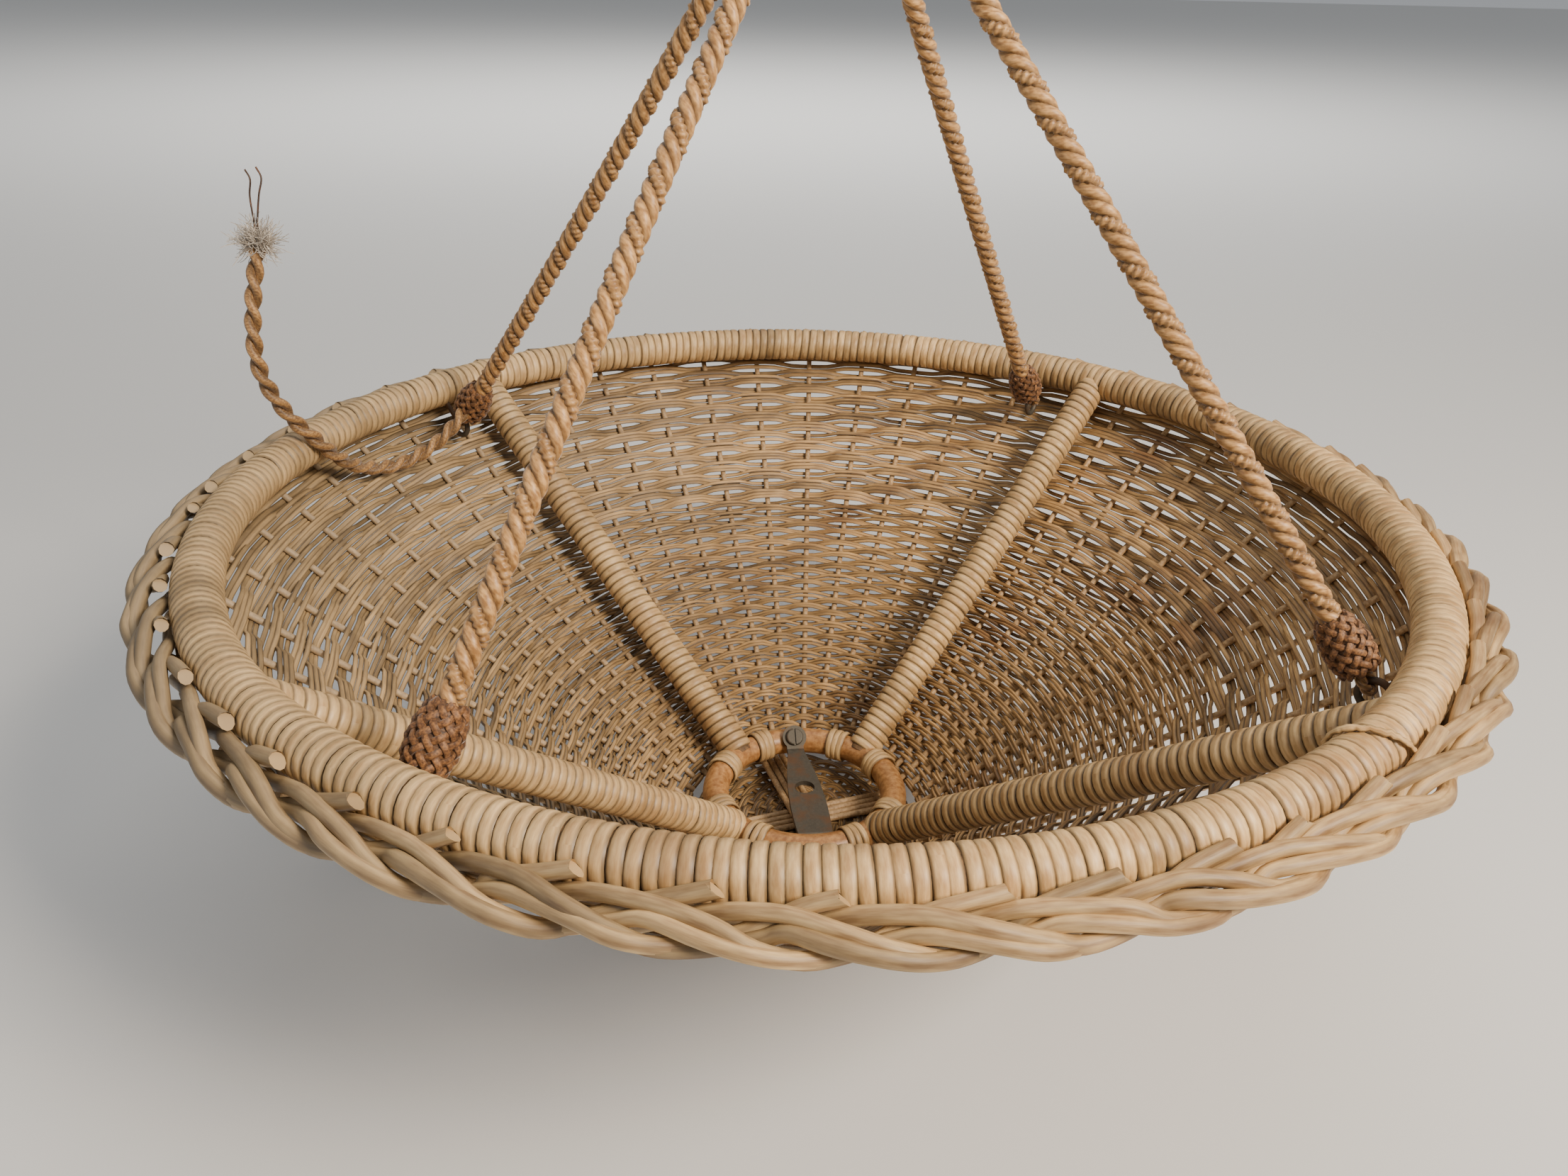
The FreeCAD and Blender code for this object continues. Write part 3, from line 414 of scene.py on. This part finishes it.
# punched strap iron, oxidised: near black with brown rust
strapIron = agedIron("oxidisedStrapIron", {
    "light": "#6A6254", "dark": "#37332C", "rust": "#6E4A2C", "rusted": 0.6, "grain": 1.2, "patch": 9,
    "metallic": 0.55, "roughness": 0.55})
# drawn copper lamp wire, tarnished dark
tarnishedWire = agedIron("tarnishedCopperWire", {
    "light": "#5A463A", "dark": "#2E2622", "rust": "#6E4630", "rusted": 0.5, "grain": 0.8, "patch": 5,
    "metallic": 0.7, "roughness": 0.5})
print("materials made")


# Four ropes and the flex.

ropeSettings = {
    "diameter": 9, "yarnDiameter": 4.7, "yarnOffset": 2.2, "pitch": -19, "step": 1.1,
    "coilStep": 0.36, "coilPitch": 1.7, "coilDepth": 0.17, "length": 0.3714,
    "points": {
        "back_left": [(-0.0053, 0.0037, -0.084), (-0.0053, 0.0037, -0.104), (-0.011, 0.0077, -0.123),
                      (-0.111, 0.0795, -0.278), (-0.1814, 0.127, -0.381)],
        "back_right": [(0.0036, 0.0054, -0.084), (0.0036, 0.0054, -0.104), (0.0075, 0.0111, -0.123),
                       (0.0595, 0.0855, -0.239), (0.1239, 0.1836, -0.381)],
        "front_left": [(-0.0034, -0.0055, -0.084), (-0.0034, -0.0055, -0.104), (-0.0071, -0.0111, -0.123),
                       (-0.0805, -0.1215, -0.286), (-0.1174, -0.1878, -0.381)],
        "front_right": [(0.0055, -0.0034, -0.084), (0.0055, -0.0034, -0.104), (0.0114, -0.0071, -0.123),
                        (0.1005, -0.0645, -0.251), (0.1878, -0.1174, -0.381)]},
}
flexSettings = {
    "diameter": 7.6, "yarnDiameter": 3.9, "yarnOffset": 1.85, "pitch": -21, "step": 1.0, "length": 0.2083,
    "points": [(-0.186, 0.1225, -0.385), (-0.191, 0.112, -0.392), (-0.203, 0.101, -0.401), (-0.2155, 0.085, -0.403),
               (-0.225, 0.068, -0.397), (-0.2295, 0.0525, -0.386), (-0.2345, 0.041, -0.372), (-0.242, 0.035, -0.36),
               (-0.248, 0.03, -0.344), (-0.2495, 0.027, -0.33), (-0.249, 0.029, -0.315), (-0.2475, 0.034, -0.298),
               (-0.246, 0.042, -0.282)],
}


def ropeYarns(line, s, coiledYarn=True):
    # two plump smooth yarns and one that is closely wound with fine cord
    yarns = []
    for k in range(3):
        coiled = coiledYarn and k == 2
        base = evenly(line, (s["coilStep"] if coiled else s["step"]) * mm)
        yarn = helix(base, s["yarnOffset"] * mm, s["pitch"] * mm, k * 2 * math.pi / 3)
        scale = None
        if coiled:
            along = np.arange(len(yarn)) * s["coilStep"] / s["coilPitch"]
            scale = 1 + s["coilDepth"] * np.cos(2 * math.pi * along)
        yarns.append(strand(yarn, s["yarnDiameter"] * mm, s["yarnDiameter"] * mm, 8, up=yarn - base, scale=scale,
                            tone=-0.5 if coiled else 0.15))
    return yarns


def addRopes(s):
    made = {}
    for side in sides:
        line = splineLine("ropeLine", s["points"][side])
        rope = buildPiece("rope." + side, ropeYarns(line, s), silkRope, ["rope_" + side])
        made[side] = (rope, line)
    return made


ropes = addRopes(ropeSettings)

knobSettings = {"radius": 221.5, "height": -381, "slope": 50.6, "length": 24, "waist": 7.5, "ropeEnd": 4.6,
                "eyeEnd": 5.6, "cord": 2.5, "lift": 0.6, "strands": 9, "turn": 2.9, "eyeDrop": 2.6,
                "points": 34, "lowness": 1.25, "fullness": 0.6, "flatness": 0.85, "toneSpread": 0.5,
                "azimuth": {"back_left": 145, "back_right": 56, "front_left": 238, "front_right": 328}}


def knobFrame(s, side):
    azimuth = s["azimuth"][side]
    outward = compass(azimuth)
    slope = math.radians(s["slope"])
    heading = unit(outward * math.cos(slope) - np.array([0, 0, 1]) * math.sin(slope))
    return compass(azimuth, s["radius"], s["height"]) * mm, heading, compass(azimuth + 90)


def addKnob(s, side):
    # cord plaited over and under round a barrel, as a hood over the rope's end
    centre, heading, level = knobFrame(s, side)
    third = np.cross(heading, level)
    t = np.linspace(0, 1, s["points"])
    ends = s["ropeEnd"] + (s["eyeEnd"] - s["ropeEnd"]) * t
    profile = (ends + (s["waist"] - ends) * np.sin(math.pi * t ** s["lowness"]) ** s["fullness"]) * mm
    middle = centre + heading * ((t - 0.5) * (s["length"] - s["cord"]) * mm)[:, None]
    wave = np.cos(s["strands"] * s["turn"] * t)
    rng = np.random.default_rng(sides.index(side))
    made = [strand(middle, 2 * s["waist"] * mm, 2 * s["waist"] * mm, 12, scale=profile / (s["waist"] * mm),
                   tone=-0.8)]
    for hand in (1, -1):
        for k in range(s["strands"]):
            turn = hand * s["turn"] * t + 2 * math.pi * k / s["strands"]
            outward = np.cos(turn)[:, None] * level + np.sin(turn)[:, None] * third
            line = middle + outward * (profile + (0.3 + hand * wave) * s["lift"] * mm)[:, None]
            made.append(strand(line, s["cord"] * mm, s["cord"] * s["flatness"] * mm, 6, up=outward,
                               tone=rng.uniform(-s["toneSpread"], s["toneSpread"])))
    return buildPiece("knob." + side, made, knobCord, ["knob_" + side])


eyeSettings = {"radius": 4.5, "yarn": 2.3, "offset": 0.95, "twists": 4, "points": 48}


def addRopeEye(s, knob, side):
    # the small cord loop under a knob that links to the iron eye
    centre, heading, level = knobFrame(knob, side)
    loopCentre = centre + heading * (knob["length"] / 2 + knob["eyeDrop"]) * mm
    a = np.linspace(0, 2 * math.pi, s["points"] + 1)[:-1, None]
    out = np.cos(a) * heading + np.sin(a) * level
    ring = loopCentre + out * s["radius"] * mm
    flat = np.cross(heading, level)
    made = []
    for k in range(2):
        turn = a * s["twists"] + math.pi * k
        made.append(strand(ring + (np.cos(turn) * out + np.sin(turn) * flat) * s["offset"] * mm,
                           s["yarn"] * mm, s["yarn"] * mm, 6, closed=True, tone=-0.6))
    return buildPiece("ropeEye." + side, made, silkRope, ["rope_eye_" + side])


knobs = {side: addKnob(knobSettings, side) for side in sides}
for side in sides:
    addRopeEye(eyeSettings, knobSettings, side)
print("ropes, knobs and rope eyes made")

fraySettings = {"fibres": 420, "thickness": 0.5, "length": (7, 16), "spread": 0.95, "start": 2.6, "curl": 0.42,
                "steps": 9,
                "place": (-0.246, 0.042, -0.2835)}
wireSettings = {"diameter": 0.8, "points": [
    [(-0.246, 0.0425, -0.283), (-0.2455, 0.0445, -0.273), (-0.244, 0.0465, -0.263), (-0.2425, 0.0485, -0.256),
     (-0.2445, 0.0495, -0.2515)],
    [(-0.246, 0.042, -0.283), (-0.247, 0.044, -0.272), (-0.2478, 0.0462, -0.263), (-0.247, 0.0475, -0.2565),
     (-0.249, 0.0485, -0.2525)]]}


def addFray(s):
    # the flex's cotton, teased out at its cut end
    rng = np.random.default_rng(21)
    made = []
    for _ in range(s["fibres"]):
        aim = unit(np.array([rng.normal() * s["spread"], rng.normal() * s["spread"], rng.uniform(0.3, 1.4)]))
        start = np.array(s["place"]) + rng.normal(size=3) * (1, 1, 0.4) * s["start"] * 0.5 * mm
        steps = aim + np.cumsum(rng.normal(size=(s["steps"], 3)) * s["curl"], axis=0)
        step = rng.uniform(*s["length"]) * mm / s["steps"]
        line = start + np.cumsum(np.vstack([np.zeros(3), unit(steps)]), axis=0) * step
        made.append(strand(line, s["thickness"] * mm, s["thickness"] * mm, 3, scale=np.linspace(1, 0.5, len(line)),
                           tone=rng.uniform(-0.8, 0.4)))
    return buildPiece("flexFray", made, looseCotton, ["flex_fray"])


def addWires(s):
    made = [strand(throughPoints(points, 6), s["diameter"] * mm, s["diameter"] * mm, 6) for points in s["points"]]
    return buildPiece("flexWires", made, tarnishedWire, ["flex_wires"])


def addFlex(s):
    line = splineLine("flexLine", s["points"])
    base = evenly(line, s["step"] * mm)
    yarns = [helix(base, s["yarnOffset"] * mm, s["pitch"] * mm, k * math.pi) for k in range(2)]
    made = [strand(yarn, s["yarnDiameter"] * mm, s["yarnDiameter"] * mm, 10, up=yarn - base, tone=0.3 - 0.5 * k)
            for k, yarn in enumerate(yarns)]
    flex = buildPiece("lampFlex", made, flexSilk, ["flex"])
    addFray(fraySettings)
    addWires(wireSettings)


addFlex(flexSettings)
print("flex made")

topSettings = {"eyePoints": [(-0.0047, 0, -0.082), (-0.0047, 0, -0.073), (-0.008, 0, -0.064), (-0.008, 0, -0.0484),
                             (0.008, 0, -0.0484), (0.008, 0, -0.064), (0.0047, 0, -0.073), (0.0047, 0, -0.082)],
               "whipRadius": 11.3, "whipCord": 2.5, "whipTop": -73.3, "whipFoot": -106.8, "whipTurns": 15}


def addTop(s):
    # the rope eye over the ring and the whipping that gathers the four ropes
    eye = ropeYarns(splineLine("topEyeLine", s["eyePoints"]), ropeSettings, False)
    buildPiece("topEye", eye, silkRope, ["top_eye"])
    master = turnMaster(s["whipRadius"] * mm, s["whipCord"] * mm, s["whipCord"] * mm, 32, 8, 1.0)
    rng = np.random.default_rng(5)
    turns = [copyTurn(master, (0, 0, height * mm), (0.03, 0.02, 1), rng.uniform(0, 6), rng.uniform(-0.3, 0.3))
             for height in np.linspace(s["whipTop"], s["whipFoot"], s["whipTurns"])]
    buildPiece("topWhipping", turns, knobCord, ["top_seizing"])


addTop(topSettings)


# Wrapped rim, spokes and lamp ring.

rimSettings = {"radius": 250, "height": -380, "turns": 349, "surface": 9.45, "stripWidth": 4.75, "stripThick": 1.7,
               "lean": 4.5, "leanSpread": 1.3, "jitter": 0.08, "driftKept": 0.8, "driftStep": 0.35,
               "brownAt": (205, 212, 96, 37, 291), "brownSpread": 2.2, "brownDepth": 1.6}
spokeSettings = {"azimuth": {"back_left": 138.5, "back_right": 48.5, "front_left": 223.0, "front_right": 318.0},
                 "surface": 8.45, "ringRadius": 44.5, "ringHeight": -538, "turns": 57, "stripWidth": 4.5,
                 "stripThick": 1.6, "first": 6.0, "last": 4.5, "lean": 4.5, "leanSpread": 1.2, "driftKept": 0.7,
                 "driftStep": 0.3}
bindingSettings = {"surface": 8.1, "stripWidth": 3.5, "stripThick": 1.3, "pitch": 3.2, "away": 13.75, "tilt": 0.03,
                   "tones": (-0.6, 0.4)}


def addRimWrapping(s):
    rng = np.random.default_rng(3)
    master = turnMaster((s["surface"] - s["stripThick"] / 2) * mm, s["stripWidth"] * mm, s["stripThick"] * mm)
    turns, drift = [], 0.0
    for k in range(s["turns"]):
        azimuth = 360 * k / s["turns"] + rng.uniform(-s["jitter"], s["jitter"])
        drift = s["driftKept"] * drift + rng.normal() * s["driftStep"]
        brown = max(math.exp(-((azimuth - a) / s["brownSpread"]) ** 2) for a in s["brownAt"])
        lean = math.radians(s["lean"] + rng.normal() * s["leanSpread"])
        axis = compass(azimuth + 90) * math.cos(lean) + np.array([0, 0, 1]) * math.sin(lean)
        turns.append(copyTurn(master, compass(azimuth, s["radius"], s["height"]) * mm, axis, rng.uniform(0, 6.28),
                              drift - s["brownDepth"] * brown))
    return buildPiece("rimWrapping", turns, wrappingCane, ["rim_wrapping"])


def addSpokeWrapping(s, rim, side):
    rng = np.random.default_rng(30 + sides.index(side))
    master = turnMaster((s["surface"] - s["stripThick"] / 2) * mm, s["stripWidth"] * mm, s["stripThick"] * mm)
    start = compass(s["azimuth"][side], rim["radius"], rim["height"]) * mm
    end = compass(s["azimuth"][side], s["ringRadius"], s["ringHeight"]) * mm
    heading = unit(end - start)
    level = compass(s["azimuth"][side] + 90)
    length = np.linalg.norm(end - start)
    turns, drift = [], 0.0
    for along in np.linspace(s["first"] * mm, length - s["last"] * mm, s["turns"]):
        drift = s["driftKept"] * drift + rng.normal() * s["driftStep"]
        lean = math.radians(s["lean"] + rng.normal() * s["leanSpread"])
        turns.append(copyTurn(master, start + heading * along, heading * math.cos(lean) + level * math.sin(lean),
                              rng.uniform(0, 6.28), drift))
    return buildPiece("spokeWrapping." + side, turns, wrappingCane, ["spoke_wrapping_" + side])


def addBindings(s, spoke):
    rng = np.random.default_rng(44)
    master = turnMaster((s["surface"] - s["stripThick"] / 2) * mm, s["stripWidth"] * mm, s["stripThick"] * mm)
    turns = []
    for azimuth in spoke["azimuth"].values():
        for hand in (-1, 1):
            for k in (-1, 0, 1):
                at = azimuth + hand * math.degrees((s["away"] + k * s["pitch"]) / spoke["ringRadius"])
                axis = compass(at + 90) + np.array([0, 0, rng.normal() * s["tilt"]])
                turns.append(copyTurn(master, compass(at, spoke["ringRadius"], spoke["ringHeight"]) * mm, axis,
                                      rng.uniform(0, 6.28), rng.uniform(*s["tones"])))
    return buildPiece("lampRingBindings", turns, wrappingCane, ["centre_ring_bindings"])


addRimWrapping(rimSettings)
for side in sides:
    addSpokeWrapping(spokeSettings, rimSettings, side)
addBindings(bindingSettings, spokeSettings)

tieSettings = {"azimuth": 312, "surface": 10.5, "thread": 2.1, "reach": 9, "rough": 0.18, "thickSpread": 0.15,
               "points": 60, "slant": 0.6}


def addRimTie(s, rim):
    # one turn of rough thread, slanting across the rim
    rng = np.random.default_rng(8)
    a = np.linspace(0, 2 * math.pi, s["points"] + 1)[:-1]
    along = s["azimuth"] + np.degrees(s["reach"] * np.cos(a + s["slant"]) / rim["radius"])
    out = rim["radius"] + s["surface"] * np.cos(a)
    line = np.array([compass(p, r, rim["height"] + s["surface"] * math.sin(q)) for p, r, q in zip(along, out, a)])
    line += rng.normal(size=line.shape) * s["rough"]
    thick = 1 + rng.normal(size=len(a)) * s["thickSpread"]
    tie = strand(line * mm, s["thread"] * mm, s["thread"] * mm, 6, closed=True, scale=thick, tone=0.5)
    return buildPiece("rimTie", [tie], wrappingCane, ["rim_tie"])


addRimTie(tieSettings, rimSettings)
print("wrappings made")


# Woven wall and base.

wallSettings = {"curve": ((262.3, -389.3), (180, -460), (59, -551)), "stakes": 48,
                "upper": {"from": 20.5, "to": 101, "rows": 13, "strands": 3, "width": 2.4, "thick": 1.85, "lift": 2.4,
                          "points": 6, "square": 2.1},
                "loose": {"from": 4.0, "to": 15.5, "rows": 3, "strands": 2, "width": 3.1, "thick": 1.7, "lift": 2.2,
                          "points": 6, "square": 2.1},
                "lower": {"from": 106.5, "to": 244, "rows": 37, "strands": 2, "width": 2.1, "thick": 1.8, "lift": 2.3,
                          "points": 4, "square": 1.5},
                "foot": {"from": 248, "to": 258, "rows": 3, "strands": 2, "width": 2.2, "thick": 2.0, "lift": 2.4,
                         "points": 4, "square": 1.5}}


def wallCurve(curve):
    # the circle through three points of the wall's section, as (radius, height)
    (ax, ay), (bx, by), (cx, cy) = curve
    d = 2 * (ax * (by - cy) + bx * (cy - ay) + cx * (ay - by))
    x = ((ax * ax + ay * ay) * (by - cy) + (bx * bx + by * by) * (cy - ay) + (cx * cx + cy * cy) * (ay - by)) / d
    y = ((ax * ax + ay * ay) * (cx - bx) + (bx * bx + by * by) * (ax - cx) + (cx * cx + cy * cy) * (bx - ax)) / d
    reach = math.hypot(ax - x, ay - y)
    start, end = math.atan2(ay - y, ax - x), math.atan2(cy - y, cx - x)
    turn = (end - start + math.pi) % (2 * math.pi) - math.pi
    return x, y, reach, start, math.copysign(1, turn)


wall = wallCurve(wallSettings["curve"])


def wallAt(distance):
    # radius, height and the inward normal at a distance down the wall from its top edge
    x, y, reach, start, hand = wall
    angle = start + hand * np.asarray(distance) / reach
    r, z = x + reach * np.cos(angle), y + reach * np.sin(angle)
    downR, downZ = -hand * np.sin(angle), hand * np.cos(angle)
    return r, z, downZ, -downR


weaveVariation = {"packing": 0.97, "sway": 0.3, "ripple": 0.22, "rowTone": 0.15, "lift": 0.06, "strandTone": 0.35,
                  "patchTone": 0.35}


def weaveBand(s, stakes, parity, rng):
    made, v = [], weaveVariation
    theta = np.linspace(0, 2 * math.pi, stakes * s["points"], endpoint=False)
    beat = np.cos(theta * stakes / 2)
    shaped = np.tanh(s["square"] * beat) / math.tanh(s["square"])
    for row, distance in enumerate(np.linspace(s["from"], s["to"], s["rows"])):
        over = 1 if (row + parity) % 2 == 0 else -1
        rowTone = rng.normal() * v["rowTone"]
        for k in range(s["strands"]):
            offset = (k - (s["strands"] - 1) / 2) * s["width"] * v["packing"]
            sway = v["sway"] * np.sin(3 * theta + rng.uniform(0, 6.28))
            sway = sway + v["ripple"] * np.sin(17 * theta + rng.uniform(0, 6.28))
            r, z, inR, inZ = wallAt(distance + offset + sway)
            lift = over * shaped * s["lift"] * (1 + v["lift"] * rng.normal())
            r, z = r + inR * lift, z + inZ * lift
            line = np.stack([r * np.cos(theta), r * np.sin(theta), z], 1) * mm
            up = np.stack([inR * np.cos(theta), inR * np.sin(theta), inZ * np.ones_like(theta)], 1)
            patchy = rowTone + rng.normal() * v["strandTone"]
            patchy = patchy + v["patchTone"] * np.sin(theta * rng.integers(2, 9) + rng.uniform(0, 6.28))
            made.append(strand(line, s["width"] * mm, s["thick"] * mm, 5, closed=True, up=up, tone=patchy))
    return made


def addWalls(s):
    rng = np.random.default_rng(11)
    upper = weaveBand(s["loose"], s["stakes"], 0, rng) + weaveBand(s["upper"], s["stakes"], 1, rng)
    buildPiece("upperWeave", upper, wovenCane, ["upper_weave"])
    lower = weaveBand(s["lower"], s["stakes"], 0, rng) + weaveBand(s["foot"], s["stakes"], 1, rng)
    buildPiece("lowerWeave", lower, wovenCane, ["lower_weave"])


addWalls(wallSettings)

baseSettings = {"height": -558, "first": 9, "last": 56, "rows": 14, "strand": 2.1, "lift": 1.5, "spokes": 24,
                "spoke": 2.6, "packing": 0.8, "sway": 0.25, "toneSpread": 0.3}


def addBase(s):
    rng = np.random.default_rng(14)
    made = []
    theta = np.linspace(0, 2 * math.pi, s["spokes"] * 6, endpoint=False)
    for row, radius in enumerate(np.linspace(s["first"], s["last"], s["rows"])):
        wave = (1 if row % 2 else -1) * np.cos(theta * s["spokes"] / 2) * s["lift"]
        for k in (-0.5, 0.5):
            sway = s["sway"] * np.sin(3 * theta + rng.uniform(0, 6.28))
            r = radius + k * s["strand"] * s["packing"] + sway
            line = np.stack([r * np.cos(theta), r * np.sin(theta), s["height"] + wave], 1) * mm
            made.append(strand(line, s["strand"] * mm, s["strand"] * mm, 5, closed=True,
                               tone=rng.normal() * s["toneSpread"]))
    for k in range(s["spokes"]):
        azimuth = 360 * k / s["spokes"]
        line = np.linspace(compass(azimuth, 3, s["height"]), compass(azimuth, s["last"] + 1, s["height"]), 8) * mm
        made.append(strand(line, s["spoke"] * mm, s["spoke"] * mm, 6, tone=rng.normal() * s["toneSpread"]))
    return buildPiece("baseWeave", made, wovenCane, ["base_weave"])


addBase(baseSettings)
print("weave made")


# Plaited border.

# Each rod comes up behind the rim, goes over its neighbours, dives under the outer edge, comes round once more
# and ends as a cut tip on the inner side. The route is (stake spacings along, outwards, up).
borderSettings = {
    "radius": 267.6, "height": -383.5, "rods": 48, "rod": 5.2, "rodSpread": (0.9, 1.06), "slope": 0.75,
    "wander": (0.035, 0.35, 0.35), "endSpread": 0.12, "toneSpread": 0.4, "cutTone": 0.8,
    "route": [(-0.55, -6.0, -7.0), (-0.15, -6.6, -3.0), (0.25, -5.2, 2.6), (0.7, -2.4, 5.0), (1.15, 1.6, 3.4),
              (1.5, 4.2, -0.6), (1.85, 3.2, -4.0), (2.2, 0.6, -4.2), (2.5, -0.8, -1.2), (2.75, 1.2, 1.8),
              (3.15, 4.6, 1.6), (3.55, 6.0, -1.0), (3.9, 3.6, -4.2), (4.25, -1.6, -3.6), (4.55, -4.4, 1.0),
              (4.85, -5.2, 5.4), (5.15, -5.9, 8.2)]}


def addBorder(s):
    rng = np.random.default_rng(17)
    made = []
    spacing = 360 / s["rods"]
    for k in range(s["rods"]):
        route = np.array(s["route"]) + rng.normal(size=(len(s["route"]), 3)) * s["wander"]
        route[-1, 0] += rng.uniform(-s["endSpread"], s["endSpread"])
        path = throughPoints(route, 4)
        path = np.vstack([path[:-1], path[-2] * 0.15 + path[-1] * 0.85, path[-1]])
        line = np.array([compass((k + along) * spacing, s["radius"] + out, s["height"] + up)
                         for along, out, up in path]) * mm
        tone = np.full(len(line), rng.normal() * s["toneSpread"])
        tone[-1] = s["cutTone"]  # the fresh cut end is paler
        up = np.tile((0.0, 0.0, 1.0), (len(line), 1)) - 0.5 * unit(line * (1, 1, 0))
        rod = s["rod"] * rng.uniform(*s["rodSpread"]) * mm
        made.append(strand(line, rod, rod, 10, up=up, tone=tone, slope=s["slope"]))
    return buildPiece("borderRods", made, borderCane, ["border_plait", "border_tips"])


addBorder(borderSettings)
print("border made")


# CAD nodes that stay, with their finishes.

keptFinishes = {"iron": (strapIron, ["ceiling_hook", "suspension_ring", "lamp_bracket", "bracket_screws"]
                         + ["iron_eye_" + side for side in sides]),
                "hoop_wood": (hoopWoodGrooveShade, ["rim_core"] + ["spoke_core_" + side for side in sides]),
                "ring_cane": (ringCane, ["centre_ring"]), "stakes": (stakeCane, ["stakes", "base_sticks"])}
for slot, (material, names) in keptFinishes.items():
    for name in names:
        nodes[name].material_slots[0].material = material
print("frame finished")


# Floor and light.

floorSettings = {"height": -0.578, "size": 60, "colour": "#D6D5D2"}


def addFloor(s):
    bpy.ops.mesh.primitive_plane_add(size=s["size"], location=(0, 0, s["height"]))
    floor = bpy.context.object
    floor.name = "floor"
    material, tree, shader = newMaterial("paleFloor", 0.7)
    shader.inputs["Base Color"].default_value = linear(s["colour"])
    floor.data.materials.append(material)


bowlMiddle = (0, 0, -0.42)  # where a light points if it has no aim of its own
lightSettings = [
    {"name": "keyLight", "place": (1.1, -1.0, 0.75), "size": 0.55, "power": 62, "colour": (1.0, 0.88, 0.74)},
    {"name": "fillLight", "place": (-1.6, -1.2, 0.5), "size": 1.8, "power": 9, "colour": (0.9, 0.94, 1.0)},
    {"name": "topLight", "place": (0.1, 0.6, 1.5), "size": 1.6, "power": 12, "colour": (1.0, 0.97, 0.93)},
    {"name": "farFloorLight", "place": (0.0, 3.2, 2.6), "size": 3.0, "power": 260, "colour": (1.0, 0.98, 0.95),
     "aim": (0.0, 7.0, -0.578)}]


worldSettings = {"colour": (0.85, 0.88, 0.92, 1), "strength": 0.4}


def addLights(lights):
    for s in lights:
        bpy.ops.object.light_add(type="AREA", location=s["place"])
        light = bpy.context.object
        light.name = s["name"]
        light.data.size = s["size"]
        light.data.energy = s["power"]
        light.data.color = s["colour"]
        toAim = Vector(s.get("aim", bowlMiddle)) - Vector(s["place"])
        light.rotation_euler = toAim.to_track_quat("-Z", "Y").to_euler()
    world = bpy.data.worlds.new("studio")
    world.use_nodes = True
    background = world.node_tree.nodes["Background"]
    background.inputs["Color"].default_value = worldSettings["colour"]
    background.inputs["Strength"].default_value = worldSettings["strength"]
    bpy.context.scene.world = world


addFloor(floorSettings)
addLights(lightSettings)
print("floor and lights set")
